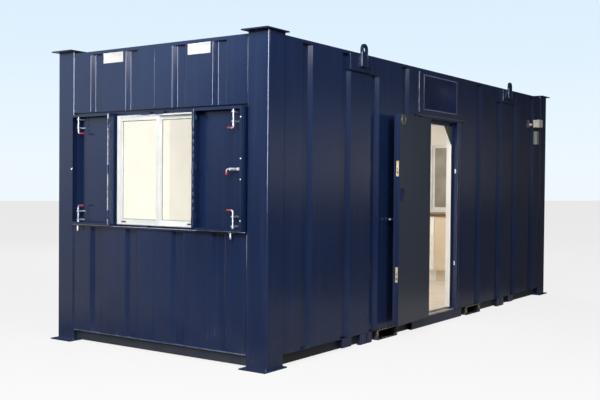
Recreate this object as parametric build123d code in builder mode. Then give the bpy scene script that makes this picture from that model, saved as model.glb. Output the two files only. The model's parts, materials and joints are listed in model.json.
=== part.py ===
from build123d import *
from math import cos, radians, sin
import os

# Portable site cabin, in millimetres: folded corner posts, recessed base rails, profiled steel
# cladding over insulated walls, a steel door that opens outwards and a gable window behind two
# folded pan shutters. The origin is the outer corner of the front left post, on the underside of
# its foot plate. X runs along the front to the right, Y to the back, Z up.

# Body
LENGTH = 6100  # over the corner posts, along X
WIDTH = 2400  # over the corner posts, along Y
HEIGHT = 2610  # foot plate underside to top plate top
ROOF_DROP = 30  # roof edge below the top of the top plates

# Corner posts
POST_X = 214
POST_Y = 210
POST_RETURN = 60  # folded edge that faces the wall
POST_SHEET = 5
POST_BEND = 14
PLATE = 10  # thickness of the foot and top plates
PLATE_OVER_GABLE = 60
PLATE_OVER_FRONT = 26
PLATE_REACH_X = 226
PLATE_REACH_Y = 230
PLATE_HOLE_R = 13
PLATE_HOLE_Y = 110

# Base
RAIL_BACK = 45  # rail face behind the post face
RAIL_TOP = 104
RAIL_FLANGE = 50
RAIL_SHEET = 5
RAIL_BEND = 8
SILL_LEFT = 2350
SILL_RIGHT = 3496
SILL_SHEET = 6
POCKET_SHARE = 0.3066  # left fork pocket's middle, as a share of LENGTH
POCKET_FROM_DOOR = 880  # right fork pocket's middle from the door's
POCKET_WIDE = 350  # clear width of the mouth
POCKET_LOW = 3
POCKET_HIGH = 78
POCKET_SHEET = 8
JOISTS_FROM_END = (450, 900, 1320)
JOIST_BY_POCKET = 270  # joist outside either pocket, from the pocket's middle
JOISTS_BETWEEN = 3  # joists between the pockets
JOIST_WIDE = 50
JOIST_HIGH = 80
BRACKETS = ((0.19, 148, 18), (0.2356, 106, 2), (0.2536, 80, 2))  # share of LENGTH, width, underside
BRACKET_BACK = 8
FLOOR_TOP = 135

# Walls and roof
CLADDING_BACK = 6  # cladding face behind the post face
CLADDING_SHEET = 3
GROOVE_DEEP = 30
GROOVE_MOUTH = 145
GROOVE_FLOOR = 75
GROOVE_BEND = 8
FRONT_GROOVES = (523, 1113, 1602, 2184)  # from either end of a long side
CLOSED_GROOVES = (1602,)  # closed by a flat plate at the top, beside the lifting points
CLOSED_DROP = 195  # foot of that plate below the top of the top plates
GABLE_GROOVES = (493, 930)  # from either side of a gable
WALL = 83  # wall lining face behind the post face
ROOF_LIP = 25
ROOF_RAIL_DEEP = 100
ROOF_RAIL_SHEET = 4
ROOF_SHEET = 3
ROOF_RIB_WIDE = 70
ROOF_RIB_HIGH = 14
ROOF_RIB_SPACING = 580
ROOF_RIB_COUNT = 9
ROOF_RIB_LENGTH = 2040
ROOF_RIB_SLOPE = 45
CEILING_DROP = 175  # ceiling lining below the top of the top plates
CEILING = 40

# Door
DOOR_MID = 2940
DOOR_WIDE = 744
DOOR_LOW = 126
DOOR_HIGH = 1960
DOOR_THICK = 48
DOOR_PROUD = 20  # frame face in front of the post face
DOOR_CLEAR = 6  # all round in the rebate, and from the stop
DOOR_LIP = 22  # skin past the core at the free edge
DOOR_SKIN = 4
DOOR_SWING = 176.4
FRAME_FACE = 52
FRAME_STOP = 40
FRAME_SHEET = 3
FRAME_BEND = 4
HEAD_FACE = 16
HEAD_STOP = 38
THRESHOLD_FRONT = 2
THRESHOLD_THICK = 14
STEP_FRONT = 58
STEP_DROP = 3  # step behind the threshold, below the floor
GUSSET_WIDE = 175
GUSSET_HIGH = 195
GUSSET_THICK = 6
GUSSET_BACK = 37
DRIP_LEFT = 2408
DRIP_RIGHT = 3494
DRIP_OUT = 25
DRIP_HIGH = 22
DRIP_SHEET = 3
DRIP_BEND = 4
PANEL_LEFT = 2457  # flat panel over the door
HINGE_R = 7
HINGE_PIN_R = 4
HINGE_PIN_CLEAR = 0.05
HINGE_OUT = 8  # pivot in front of the frame face
HINGE_SIDE = 6  # pivot beside the rebate, towards the wall
HINGE_HIGH = 100
HINGE_GAP = 1
HINGE_PLATE = 3
HINGE_START = 8  # moving plate from the pivot, and its other end
HINGE_REACH = 50
HINGE_HEIGHTS = (350, 1106, 1862)
LOCK_HEIGHTS = (600, 1580)
LOCK_HIGH = 142
LOCK_WIDE = 24
LOCK_PLATE = 3
DISC_R = 46
DISC_THICK = 1
DISC_HEIGHT = 2034
DISC_IN = 75  # from the core's free edge
PULL_WIDE = 100
PULL_HIGH = 115
PULL_DEEP = 9
PULL_SHEET = 2
PULL_HEIGHT = 1338
PULL_IN = 54  # from the core's free edge
HOLDBACK_X = 1850
HOLDBACK_HEIGHT = 1110
HOLDBACK_R = 12
HOLDBACK_BASE_R = 26
HOLDBACK_LONG = 80

# Gable window and shutters
BAND_LOW = 1046  # flat band of the gable
BAND_HIGH = 2050
LEDGE_OUT = 18
LEDGE_THICK = 4
LEDGE_FLANGE = 14
WINDOW_FROM_STRIP = 24
WINDOW_LOW = 1072
WINDOW_HIGH = 930
WINDOW_BACK = 13
WINDOW_DEEP = 62
WINDOW_SIDE = 18
WINDOW_HEAD = 10
WINDOW_SILL = 11
SASH_BAR = 33
SASH_DEEP = 24
SASH_GAP = 0.3
SASH_BACK = 4  # outer sash behind the frame face
SASH_BETWEEN = 2
SASH_MEET = 44  # outer sash's edge past the middle
GLASS = 4
GLASS_BACK = 17  # glass behind its sash's face
SHUTTER_LOW = 1056
SHUTTER_HIGH = 972
SHUTTER_DEEP = 70
SHUTTER_SHEET = 3
SHUTTER_LIP = 22  # edge folded inwards all round the pan
SHUTTER_CLEAR = 12  # folded shutter's sheet in front of the band
SHUTTER_PIVOT_OUT = 9  # pivot in front of the folded shutter's lips
SHUTTER_FREE_CLEAR = 14  # folded shutter's free edge from the post
SHUTTER_MEET = 4  # closed shutter's edge from the gable's middle
SHUTTER_EDGE = 8  # folded shutter's hinge edge from the pivot, towards the window
STRIP_FROM_PIVOT = 19  # window side of the strip that carries the hinges
STRIP_THICK = 6
SHUTTER_HINGE_R = 7
SHUTTER_HINGE_HIGH = 80
SHUTTER_HINGE_HEIGHTS = (1150, 1542, 1934)
SHUTTER_LEAF_START = 6  # moving leaf from the pivot towards the window, and its reach on the lip
SHUTTER_LEAF_REACH = 27
BOLT_R = 5
BOLT_IN = 90  # upright bolt from the pan's free edge
BOLT_LONG = 155
BOLT_END = 12  # bolt's tip from the pan's edge
BOLT_OUT = 58  # rod in front of the pan's sheet
BOLT_GRIP = 60
BOLT_BEND = 14
MIDDLE_BOLT_LONG = 145
MIDDLE_BOLT_GRIP = 40
GUIDES_AT = (30, 105)  # from a bolt's tip
GUIDE_WIDE = 22
GUIDE_HIGH = 12
GUIDE_SHEET = 3

# Lifting points
LIFTING_FROM_END = 1350
EYE_WIDE = 100
EYE_THICK = 20
EYE_OVER = 55  # eye plate above the top plates
EYE_LONG = 205
EYE_HOLE_R = 25
DOUBLER_OUTER = 205  # from the eye's middle, towards the gable
DOUBLER_INNER = 165
DOUBLER_DROP = 46  # doubler plate below the top plates
DOUBLER_HIGH = 145
DOUBLER_THICK = 20
DOUBLER_WEB = 2  # plate that closes the groove behind the doubler
LUG_WIDE = 40
LUG_DROP = 80  # lug below the top plates
LUG_HIGH = 62
LUG_OUT = 20
LUG_FROM_EYE = 100

# Power inlet on the front, at the right
INLET_FROM_END = 460
INLET_WIDE = 128
INLET_DROP = 427  # box underside below the top of the top plates
INLET_HIGH = 96
INLET_DEEP = 77
TRUNKING_FROM_END = 445
TRUNKING_WIDE = 70
TRUNKING_DROP = 645
TRUNKING_HIGH = 167
TRUNKING_DEEP = 45

# Fitted unit along the far gable
WORKTOP_TOP = 1050
WORKTOP_THICK = 40
WORKTOP_DEEP = 632
UNIT_DEEP = 597
UNIT_PLINTH = 150
PLINTH_BACK = 54  # plinth behind the carcass front
UNIT_BOARD = 18
UNIT_DOOR_GAP = 4
UNIT_SPLIT = 1273

os.makedirs("parts", exist_ok=True)

MID_X = Plane.YZ.offset(LENGTH / 2)
MID_Y = Plane.XZ.offset(-WIDTH / 2)
POST_TOP = HEIGHT - PLATE
ROOF_TOP = HEIGHT - ROOF_DROP
CLADDING_TOP = ROOF_TOP - ROOF_LIP
GROOVE_BACK = CLADDING_BACK + GROOVE_DEEP
STUDS = GROOVE_BACK + CLADDING_SHEET
WALL_TOP = CLADDING_TOP - ROOF_RAIL_DEEP
CEILING_LOW = HEIGHT - CEILING_DROP
REBATE_LEFT = DOOR_MID - DOOR_WIDE / 2 - DOOR_CLEAR
REBATE_RIGHT = DOOR_MID + DOOR_WIDE / 2 + DOOR_CLEAR
REBATE_TOP = DOOR_LOW + DOOR_HIGH + DOOR_CLEAR
STOP = DOOR_THICK - DOOR_PROUD + DOOR_CLEAR
FRAME_LEFT = REBATE_LEFT - FRAME_FACE
FRAME_RIGHT = REBATE_RIGHT + FRAME_FACE
FRAME_TOP = REBATE_TOP + HEAD_FACE
DOOR_PIVOT = Vector(REBATE_LEFT - HINGE_SIDE, -DOOR_PROUD - HINGE_OUT)
SHUTTER_SIDE = (WIDTH / 2 - POST_Y - SHUTTER_FREE_CLEAR + SHUTTER_MEET) / 2  # pivot from the middle
STRIP_INNER = SHUTTER_SIDE - STRIP_FROM_PIVOT


def save(piece, name):
    """Label the piece and write it to its own file."""
    piece.part.label = name
    export_step(piece.part, f"parts/{name}.step")


def block(low, high, mode=Mode.ADD):
    """Box between two opposite corners."""
    middle = (Vector(*low) + Vector(*high)) / 2
    size = Vector(*high) - Vector(*low)
    with Locations(middle):
        Box(size.X, size.Y, size.Z, mode=mode)


def folded(points, thickness, bend, side=Side.LEFT):
    """Section of a folded sheet whose outer face follows the points."""
    with BuildLine() as outline:
        FilletPolyline(*points, radius=bend)
        offset(amount=thickness, side=side)
    make_face(outline.edges())


def profile(points):
    """Closed outline through the points."""
    with BuildLine() as outline:
        Polyline(*points, close=True)
    make_face(outline.edges())


def opposite(distances, span):
    """The distances from one end of the span and the same from its other end."""
    return sorted([*distances, *(span - d for d in distances)])


def grooved(start, end, grooves):
    """Section of profiled cladding along X, with its face on Y = CLADDING_BACK."""
    lead = (GROOVE_MOUTH - GROOVE_FLOOR) / 2
    face = [(start, CLADDING_BACK)]
    for middle in [x for x in grooves if start < x - GROOVE_MOUTH / 2 and x + GROOVE_MOUTH / 2 < end]:
        mouth = middle - GROOVE_MOUTH / 2
        face += [(mouth, CLADDING_BACK), (mouth + lead, GROOVE_BACK)]
        face += [(mouth + lead + GROOVE_FLOOR, GROOVE_BACK), (mouth + GROOVE_MOUTH, CLADDING_BACK)]
    face.append((end, CLADDING_BACK))
    folded(face, CLADDING_SHEET, GROOVE_BEND)


def groove_closer(middle):
    """Flat plate over the top of a groove in a long side, on a shelf that closes the groove."""
    near = middle - GROOVE_MOUTH / 2
    low = HEIGHT - CLOSED_DROP
    block(
        (near, CLADDING_BACK, low),
        (near + GROOVE_MOUTH, CLADDING_BACK + CLADDING_SHEET, CLADDING_TOP),
    )
    with BuildSketch(Plane.XY.offset(low)) as shelf:
        lead = (GROOVE_MOUTH - GROOVE_FLOOR) / 2
        profile(
            [
                (near, CLADDING_BACK),
                (near + lead, GROOVE_BACK),
                (near + lead + GROOVE_FLOOR, GROOVE_BACK),
                (near + GROOVE_MOUTH, CLADDING_BACK),
            ]
        )
    extrude(shelf.sketch, amount=CLADDING_SHEET)


def bent_rod(points, plane, radius, bend):
    """Round rod along the points of a plane, bent at its corners."""
    with BuildLine(plane) as route:
        FilletPolyline(*points, radius=bend)
    with BuildSketch(Plane(origin=route.line @ 0, z_dir=route.line % 0)) as section:
        Circle(radius)
    sweep(sections=section.sketch, path=route.line)


def cuboid_ring(low, high, bars):
    """Upright rectangular ring in a YZ plane: bars gives its left, right, low and high widths."""
    block(low, high)
    left, right, sill, head = bars
    block(
        (low[0], low[1] + left, low[2] + sill),
        (high[0], high[1] - right, high[2] - head),
        mode=Mode.SUBTRACT,
    )


# Corner posts: a folded L with returned edges, a foot plate and a top plate
CORNERS = {
    "front_left": [],
    "front_right": [MID_X],
    "back_left": [MID_Y],
    "back_right": [MID_X, MID_Y],
}
for corner, mirrors in CORNERS.items():
    with BuildPart() as post:
        with BuildSketch(Plane.XY.offset(PLATE)):
            folded(
                [(POST_RETURN, POST_Y), (0, POST_Y), (0, 0), (POST_X, 0), (POST_X, POST_RETURN)],
                POST_SHEET,
                POST_BEND,
            )
        extrude(amount=POST_TOP - PLATE)
        for z in (0, POST_TOP):
            block(
                (-PLATE_OVER_GABLE, -PLATE_OVER_FRONT, z),
                (PLATE_REACH_X, PLATE_REACH_Y, z + PLATE),
            )
            with Locations((-PLATE_OVER_GABLE / 2, PLATE_HOLE_Y, z + PLATE / 2)):
                Cylinder(PLATE_HOLE_R, PLATE, mode=Mode.SUBTRACT)
        for plane in mirrors:
            mirror(about=plane, mode=Mode.REPLACE)
    save(post, f"corner_post_{corner}")

# Base rails: channels that open inwards, with the fork pockets let into the long ones
POCKET_OUTER = POCKET_WIDE + 2 * POCKET_SHEET
POCKET_TOP = POCKET_LOW + POCKET_HIGH + 2 * POCKET_SHEET
POCKETS = (POCKET_SHARE * LENGTH, DOOR_MID + POCKET_FROM_DOOR)
RAIL_SECTION = [
    (RAIL_BACK + RAIL_FLANGE, RAIL_TOP),
    (RAIL_BACK, RAIL_TOP),
    (RAIL_BACK, PLATE),
    (RAIL_BACK + RAIL_FLANGE, PLATE),
]
for side, mirrors in {"front": [], "back": [MID_Y]}.items():
    with BuildPart() as long_rail:
        with BuildSketch(Plane.YZ.offset(POST_X)):
            folded(RAIL_SECTION, RAIL_SHEET, RAIL_BEND)
        extrude(amount=LENGTH - 2 * POST_X)
        for x in POCKETS:
            block(
                (x - POCKET_OUTER / 2, 0, POCKET_LOW),
                (x + POCKET_OUTER / 2, RAIL_BACK + RAIL_FLANGE, POCKET_TOP),
                mode=Mode.SUBTRACT,
            )
        for plane in mirrors:
            mirror(about=plane, mode=Mode.REPLACE)
    save(long_rail, f"{side}_rail")

with BuildPart() as end_rails:
    with BuildSketch(Plane.XZ.offset(-POST_Y)):
        folded(RAIL_SECTION, RAIL_SHEET, RAIL_BEND)
    extrude(amount=-(WIDTH - 2 * POST_Y))
    mirror(about=MID_X)
save(end_rails, "end_rails")

with BuildPart() as fork_pockets:
    for x in POCKETS:
        block((x - POCKET_OUTER / 2, 0, POCKET_LOW), (x + POCKET_OUTER / 2, WIDTH, POCKET_TOP))
        block(
            (x - POCKET_WIDE / 2, 0, POCKET_LOW + POCKET_SHEET),
            (x + POCKET_WIDE / 2, WIDTH, POCKET_TOP - POCKET_SHEET),
            mode=Mode.SUBTRACT,
        )
save(fork_pockets, "fork_pockets")

with BuildPart() as door_sill:
    with BuildSketch(Plane.YZ.offset(SILL_LEFT)):
        folded(
            [(RAIL_BACK, RAIL_TOP), (0, RAIL_TOP), (0, PLATE), (RAIL_BACK, PLATE)],
            SILL_SHEET,
            RAIL_BEND,
        )
    extrude(amount=SILL_RIGHT - SILL_LEFT)
save(door_sill, "door_sill")

with BuildPart() as rail_brackets:
    for share, wide, low in BRACKETS:
        x = share * LENGTH
        block((x - wide / 2, BRACKET_BACK, low), (x + wide / 2, RAIL_BACK, RAIL_TOP))
    mirror(about=MID_X)
    mirror(about=MID_Y)
save(rail_brackets, "rail_brackets")

JOISTS = opposite(JOISTS_FROM_END, LENGTH)
JOISTS += [POCKETS[0] - JOIST_BY_POCKET, POCKETS[1] + JOIST_BY_POCKET]
JOIST_STEP = (POCKETS[1] - POCKETS[0]) / (JOISTS_BETWEEN + 1)
JOISTS += [POCKETS[0] + JOIST_STEP * (i + 1) for i in range(JOISTS_BETWEEN)]
with BuildPart() as floor_joists:
    for x in JOISTS:
        block(
            (x - JOIST_WIDE / 2, RAIL_BACK + RAIL_FLANGE, RAIL_TOP - JOIST_HIGH),
            (x + JOIST_WIDE / 2, WIDTH - RAIL_BACK - RAIL_FLANGE, RAIL_TOP),
        )
save(floor_joists, "floor_joists")

with BuildPart() as floor:
    block((WALL, WALL, RAIL_TOP), (LENGTH - WALL, WIDTH - WALL, FLOOR_TOP))
save(floor, "floor")

# Roof: edge rails between the posts, a ribbed sheet on top and an insulated ceiling
ROOF_RAIL_SECTION = [
    (CLADDING_BACK, CLADDING_TOP),
    (STUDS, CLADDING_TOP),
    (STUDS, WALL_TOP),
    (WALL, WALL_TOP),
    (WALL, ROOF_TOP),
    (CLADDING_BACK, ROOF_TOP),
]
with BuildPart() as roof_rails:
    with BuildSketch(Plane.YZ.offset(POST_X)):
        profile(ROOF_RAIL_SECTION)
        offset(amount=-ROOF_RAIL_SHEET, kind=Kind.INTERSECTION, mode=Mode.SUBTRACT)
    extrude(amount=LENGTH - 2 * POST_X)
    with BuildSketch(Plane.XZ.offset(-POST_Y)):
        profile(ROOF_RAIL_SECTION)
        offset(amount=-ROOF_RAIL_SHEET, kind=Kind.INTERSECTION, mode=Mode.SUBTRACT)
    extrude(amount=-(WIDTH - 2 * POST_Y))
    mirror(about=MID_Y)
    mirror(about=MID_X)
save(roof_rails, "roof_rails")

with BuildPart() as roof_sheet:
    block(
        (CLADDING_BACK, POST_Y, ROOF_TOP),
        (LENGTH - CLADDING_BACK, WIDTH - POST_Y, ROOF_TOP + ROOF_SHEET),
    )
    block(
        (POST_X, CLADDING_BACK, ROOF_TOP),
        (LENGTH - POST_X, WIDTH - CLADDING_BACK, ROOF_TOP + ROOF_SHEET),
    )
    with BuildSketch(Plane.XY.offset(ROOF_TOP + ROOF_SHEET)):
        with Locations((LENGTH / 2, WIDTH / 2)):
            with GridLocations(ROOF_RIB_SPACING, 0, ROOF_RIB_COUNT, 1):
                Rectangle(ROOF_RIB_WIDE, ROOF_RIB_LENGTH)
    extrude(amount=ROOF_RIB_HIGH, taper=ROOF_RIB_SLOPE)
save(roof_sheet, "roof_sheet")

with BuildPart() as ceiling:
    block((WALL, WALL, CEILING_LOW), (LENGTH - WALL, WIDTH - WALL, CEILING_LOW + CEILING))
save(ceiling, "ceiling")

# Front wall, split at the door: cladding, then studs with insulation and lining behind it
with BuildPart() as front_cladding_left:
    with BuildSketch(Plane.XY.offset(RAIL_TOP)):
        grooved(POST_X, FRAME_LEFT, FRONT_GROOVES)
    extrude(amount=CLADDING_TOP - RAIL_TOP)
    for middle in CLOSED_GROOVES:
        groove_closer(middle)
save(front_cladding_left, "front_cladding_left")

with BuildPart() as front_cladding_right:
    with BuildSketch(Plane.XY.offset(RAIL_TOP)):
        grooved(FRAME_RIGHT, LENGTH - POST_X, sorted(LENGTH - x for x in FRONT_GROOVES))
    extrude(amount=CLADDING_TOP - RAIL_TOP)
    for middle in CLOSED_GROOVES:
        groove_closer(LENGTH - middle)
save(front_cladding_right, "front_cladding_right")

with BuildPart() as over_door_panel:
    block(
        (PANEL_LEFT, CLADDING_BACK - CLADDING_SHEET, FRAME_TOP + DRIP_HIGH),
        (DRIP_RIGHT, CLADDING_BACK, CLADDING_TOP),
    )
save(over_door_panel, "over_door_panel")

with BuildPart() as front_wall_left:
    with BuildSketch(Plane.XY.offset(RAIL_TOP)):
        profile(
            [
                (POST_RETURN, POST_RETURN),
                (POST_X, POST_RETURN),
                (POST_X, STUDS),
                (FRAME_LEFT, STUDS),
                (FRAME_LEFT, WALL),
                (POST_RETURN, WALL),
            ]
        )
    extrude(amount=WALL_TOP - RAIL_TOP)
save(front_wall_left, "front_wall_left")

with BuildPart() as front_wall_right:
    with BuildSketch(Plane.XY.offset(RAIL_TOP)):
        profile(
            [
                (LENGTH - POST_RETURN, POST_RETURN),
                (LENGTH - POST_X, POST_RETURN),
                (LENGTH - POST_X, STUDS),
                (FRAME_RIGHT, STUDS),
                (FRAME_RIGHT, WALL),
                (LENGTH - POST_RETURN, WALL),
            ]
        )
    extrude(amount=WALL_TOP - RAIL_TOP)
save(front_wall_right, "front_wall_right")

with BuildPart() as front_wall_over_door:
    block((FRAME_LEFT, CLADDING_BACK, FRAME_TOP), (FRAME_RIGHT, WALL, WALL_TOP))
    block((FRAME_LEFT, CLADDING_BACK, WALL_TOP), (FRAME_RIGHT, STUDS, CLADDING_TOP))
save(front_wall_over_door, "front_wall_over_door")

# Back wall
with BuildPart() as back_cladding:
    with BuildSketch(Plane.XY.offset(RAIL_TOP)):
        grooved(POST_X, LENGTH - POST_X, opposite(FRONT_GROOVES, LENGTH))
    extrude(amount=CLADDING_TOP - RAIL_TOP)
    for middle in opposite(CLOSED_GROOVES, LENGTH):
        groove_closer(middle)
    mirror(about=MID_Y, mode=Mode.REPLACE)
save(back_cladding, "back_cladding")

with BuildPart() as back_wall:
    with BuildSketch(Plane.XY.offset(RAIL_TOP)):
        profile(
            [
                (POST_RETURN, POST_RETURN),
                (POST_X, POST_RETURN),
                (POST_X, STUDS),
                (LENGTH - POST_X, STUDS),
                (LENGTH - POST_X, POST_RETURN),
                (LENGTH - POST_RETURN, POST_RETURN),
                (LENGTH - POST_RETURN, WALL),
                (POST_RETURN, WALL),
            ]
        )
    extrude(amount=WALL_TOP - RAIL_TOP)
    mirror(about=MID_Y, mode=Mode.REPLACE)
save(back_wall, "back_wall")

# Gables: grooves above and below a recessed flat band with the window, and a ledge under the band
WINDOW_NEAR = WIDTH / 2 - STRIP_INNER + WINDOW_FROM_STRIP
WINDOW_FAR = WIDTH / 2 + STRIP_INNER - WINDOW_FROM_STRIP
WINDOW_TOP = WINDOW_LOW + WINDOW_HIGH
for side, mirrors in {"left": [], "right": [MID_X]}.items():
    with BuildPart() as gable_cladding:
        for low, high in ((RAIL_TOP, BAND_LOW), (BAND_HIGH, CLADDING_TOP)):
            with BuildSketch(Plane(origin=(0, WIDTH, low), x_dir=(0, -1, 0), z_dir=(0, 0, 1))):
                grooved(POST_Y, WIDTH - POST_Y, opposite(GABLE_GROOVES, WIDTH))
            extrude(amount=high - low)
        block((GROOVE_BACK, POST_Y, BAND_LOW), (STUDS, WIDTH - POST_Y, BAND_HIGH))
        block(
            (CLADDING_BACK, POST_Y, BAND_HIGH - CLADDING_SHEET),
            (STUDS, WIDTH - POST_Y, BAND_HIGH),
        )
        block(
            (CLADDING_BACK - LEDGE_OUT, POST_Y, BAND_LOW),
            (STUDS, WIDTH - POST_Y, BAND_LOW + LEDGE_THICK),
        )
        block(
            (CLADDING_BACK - LEDGE_OUT, POST_Y, BAND_LOW + LEDGE_THICK - LEDGE_FLANGE),
            (CLADDING_BACK - LEDGE_OUT + LEDGE_THICK, WIDTH - POST_Y, BAND_LOW + LEDGE_THICK),
        )
        block(
            (CLADDING_BACK, WINDOW_NEAR, WINDOW_LOW),
            (STUDS, WINDOW_FAR, WINDOW_TOP),
            mode=Mode.SUBTRACT,
        )
        for plane in mirrors:
            mirror(about=plane, mode=Mode.REPLACE)
    save(gable_cladding, f"{side}_gable_cladding")

    with BuildPart() as gable_wall:
        with BuildSketch(Plane.XY.offset(RAIL_TOP)):
            profile(
                [
                    (POST_RETURN, WALL),
                    (POST_RETURN, POST_Y),
                    (STUDS, POST_Y),
                    (STUDS, WIDTH - POST_Y),
                    (POST_RETURN, WIDTH - POST_Y),
                    (POST_RETURN, WIDTH - WALL),
                    (WALL, WIDTH - WALL),
                    (WALL, WALL),
                ]
            )
        extrude(amount=WALL_TOP - RAIL_TOP)
        block(
            (STUDS, WINDOW_NEAR, WINDOW_LOW),
            (WALL, WINDOW_FAR, WINDOW_TOP),
            mode=Mode.SUBTRACT,
        )
        for plane in mirrors:
            mirror(about=plane, mode=Mode.REPLACE)
    save(gable_wall, f"{side}_gable_wall")

# Gable windows: a frame with two sliding sashes, the outer one on the left from outside
INNER_NEAR = WINDOW_NEAR + WINDOW_SIDE
INNER_FAR = WINDOW_FAR - WINDOW_SIDE
INNER_LOW = WINDOW_LOW + WINDOW_SILL
INNER_TOP = WINDOW_TOP - WINDOW_HEAD
OUTER_SASH = WINDOW_BACK + SASH_BACK
INNER_SASH = OUTER_SASH + SASH_DEEP + SASH_BETWEEN
SASH_EDGE = WIDTH / 2 - SASH_MEET
SASHES = (
    (OUTER_SASH, SASH_EDGE, INNER_FAR - SASH_GAP),
    (INNER_SASH, INNER_NEAR + SASH_GAP, SASH_EDGE + SASH_BAR),
)
for side, mirrors in {"left": [], "right": [MID_X]}.items():
    with BuildPart() as window_frame:
        cuboid_ring(
            (WINDOW_BACK, WINDOW_NEAR, WINDOW_LOW),
            (WINDOW_BACK + WINDOW_DEEP, WINDOW_FAR, WINDOW_TOP),
            (WINDOW_SIDE, WINDOW_SIDE, WINDOW_SILL, WINDOW_HEAD),
        )
        for x, near, far in SASHES:
            cuboid_ring(
                (x, near, INNER_LOW + SASH_GAP),
                (x + SASH_DEEP, far, INNER_TOP - SASH_GAP),
                (SASH_BAR, SASH_BAR, SASH_BAR, SASH_BAR),
            )
        for plane in mirrors:
            mirror(about=plane, mode=Mode.REPLACE)
    save(window_frame, f"{side}_window_frame")

    with BuildPart() as window_glass:
        for x, near, far in SASHES:
            block(
                (x + GLASS_BACK, near + SASH_BAR, INNER_LOW + SASH_GAP + SASH_BAR),
                (x + GLASS_BACK + GLASS, far - SASH_BAR, INNER_TOP - SASH_GAP - SASH_BAR),
            )
        for plane in mirrors:
            mirror(about=plane, mode=Mode.REPLACE)
    save(window_glass, f"{side}_window_glass")

# Places along and through the door leaf, from its pivot, as it stands when shut
EDGE_HINGE = HINGE_SIDE + DOOR_CLEAR
EDGE_FREE = EDGE_HINGE + DOOR_WIDE
CORE_FREE = EDGE_FREE - DOOR_LIP
OUTER = HINGE_OUT
INNER = HINGE_OUT + DOOR_THICK
PULL_MIDDLE = CORE_FREE - PULL_IN
LOCK_MIDDLE = (OUTER + DOOR_SKIN + INNER) / 2
STRIKES = [
    (
        (REBATE_RIGHT, DOOR_PIVOT.Y + LOCK_MIDDLE - LOCK_WIDE / 2, z - LOCK_HIGH / 2),
        (REBATE_RIGHT + FRAME_SHEET, DOOR_PIVOT.Y + LOCK_MIDDLE + LOCK_WIDE / 2, z + LOCK_HIGH / 2),
    )
    for z in LOCK_HEIGHTS
]

# Door frame: a folded profile with a rebate and a stop, welded up as two jambs and a head
with BuildPart() as jamb:
    with BuildSketch(Plane.XY.offset(RAIL_TOP)):
        folded(
            [
                (FRAME_LEFT, WALL),
                (FRAME_LEFT, -DOOR_PROUD),
                (REBATE_LEFT, -DOOR_PROUD),
                (REBATE_LEFT, STOP),
                (REBATE_LEFT + FRAME_STOP, STOP),
                (REBATE_LEFT + FRAME_STOP, WALL),
            ],
            FRAME_SHEET,
            FRAME_BEND,
        )
    extrude(amount=FRAME_TOP - RAIL_TOP)
save(jamb, "door_jamb_left")

with BuildPart() as right_jamb:
    add(jamb.part)
    mirror(about=Plane.YZ.offset(DOOR_MID), mode=Mode.REPLACE)
    for low, high in STRIKES:
        block(low, high, mode=Mode.SUBTRACT)
save(right_jamb, "door_jamb_right")

with BuildPart() as strike_plates:
    for low, high in STRIKES:
        block(low, high)
save(strike_plates, "strike_plates")

with BuildPart() as door_head:
    with BuildSketch(Plane.YZ.offset(REBATE_LEFT)):
        folded(
            [
                (WALL, FRAME_TOP),
                (-DOOR_PROUD, FRAME_TOP),
                (-DOOR_PROUD, REBATE_TOP),
                (STOP, REBATE_TOP),
                (STOP, REBATE_TOP - HEAD_STOP),
                (WALL, REBATE_TOP - HEAD_STOP),
            ],
            FRAME_SHEET,
            FRAME_BEND,
            Side.RIGHT,
        )
    extrude(amount=REBATE_RIGHT - REBATE_LEFT)
    for x in (REBATE_LEFT, REBATE_RIGHT - FRAME_STOP):
        block(
            (x, STOP, REBATE_TOP - HEAD_STOP),
            (x + FRAME_STOP, WALL, FRAME_TOP),
            mode=Mode.SUBTRACT,
        )
    add([jamb.part, right_jamb.part], mode=Mode.SUBTRACT)
save(door_head, "door_head")

with BuildPart() as door_gusset:
    with BuildSketch(Plane.XZ.offset(-GUSSET_BACK)):
        corner = (REBATE_RIGHT - FRAME_STOP, REBATE_TOP - HEAD_STOP)
        profile([corner, (corner[0] - GUSSET_WIDE, corner[1]), (corner[0], corner[1] - GUSSET_HIGH)])
    extrude(amount=-GUSSET_THICK)
save(door_gusset, "door_gusset")

with BuildPart() as threshold:
    block(
        (REBATE_LEFT, THRESHOLD_FRONT, RAIL_TOP),
        (REBATE_RIGHT, STOP - FRAME_BEND, RAIL_TOP + THRESHOLD_THICK),
    )
    block(
        (REBATE_LEFT + FRAME_STOP, THRESHOLD_FRONT, RAIL_TOP),
        (REBATE_RIGHT - FRAME_STOP, STEP_FRONT, RAIL_TOP + THRESHOLD_THICK),
    )
    block(
        (REBATE_LEFT + FRAME_STOP, STEP_FRONT, RAIL_TOP),
        (REBATE_RIGHT - FRAME_STOP, WALL, FLOOR_TOP - STEP_DROP),
    )
save(threshold, "threshold")

with BuildPart() as drip_channel:
    with BuildSketch(Plane.YZ.offset(DRIP_LEFT)):
        folded(
            [
                (CLADDING_BACK - DRIP_OUT, FRAME_TOP + DRIP_HIGH),
                (CLADDING_BACK - DRIP_OUT, FRAME_TOP),
                (CLADDING_BACK, FRAME_TOP),
                (CLADDING_BACK, FRAME_TOP + DRIP_HIGH),
            ],
            DRIP_SHEET,
            DRIP_BEND,
        )
    extrude(amount=DRIP_RIGHT - DRIP_LEFT)
save(drip_channel, "drip_channel")

# Door leaf, open against the front. Its own X runs from the pivot to the free edge, its own Y from
# the pivot through the skin to the inner face.
OPEN = radians(-DOOR_SWING)
DOOR_PLANE = Plane(
    origin=(DOOR_PIVOT.X, DOOR_PIVOT.Y, 0),
    x_dir=(cos(OPEN), sin(OPEN), 0),
    z_dir=(0, 0, 1),
)

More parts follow.
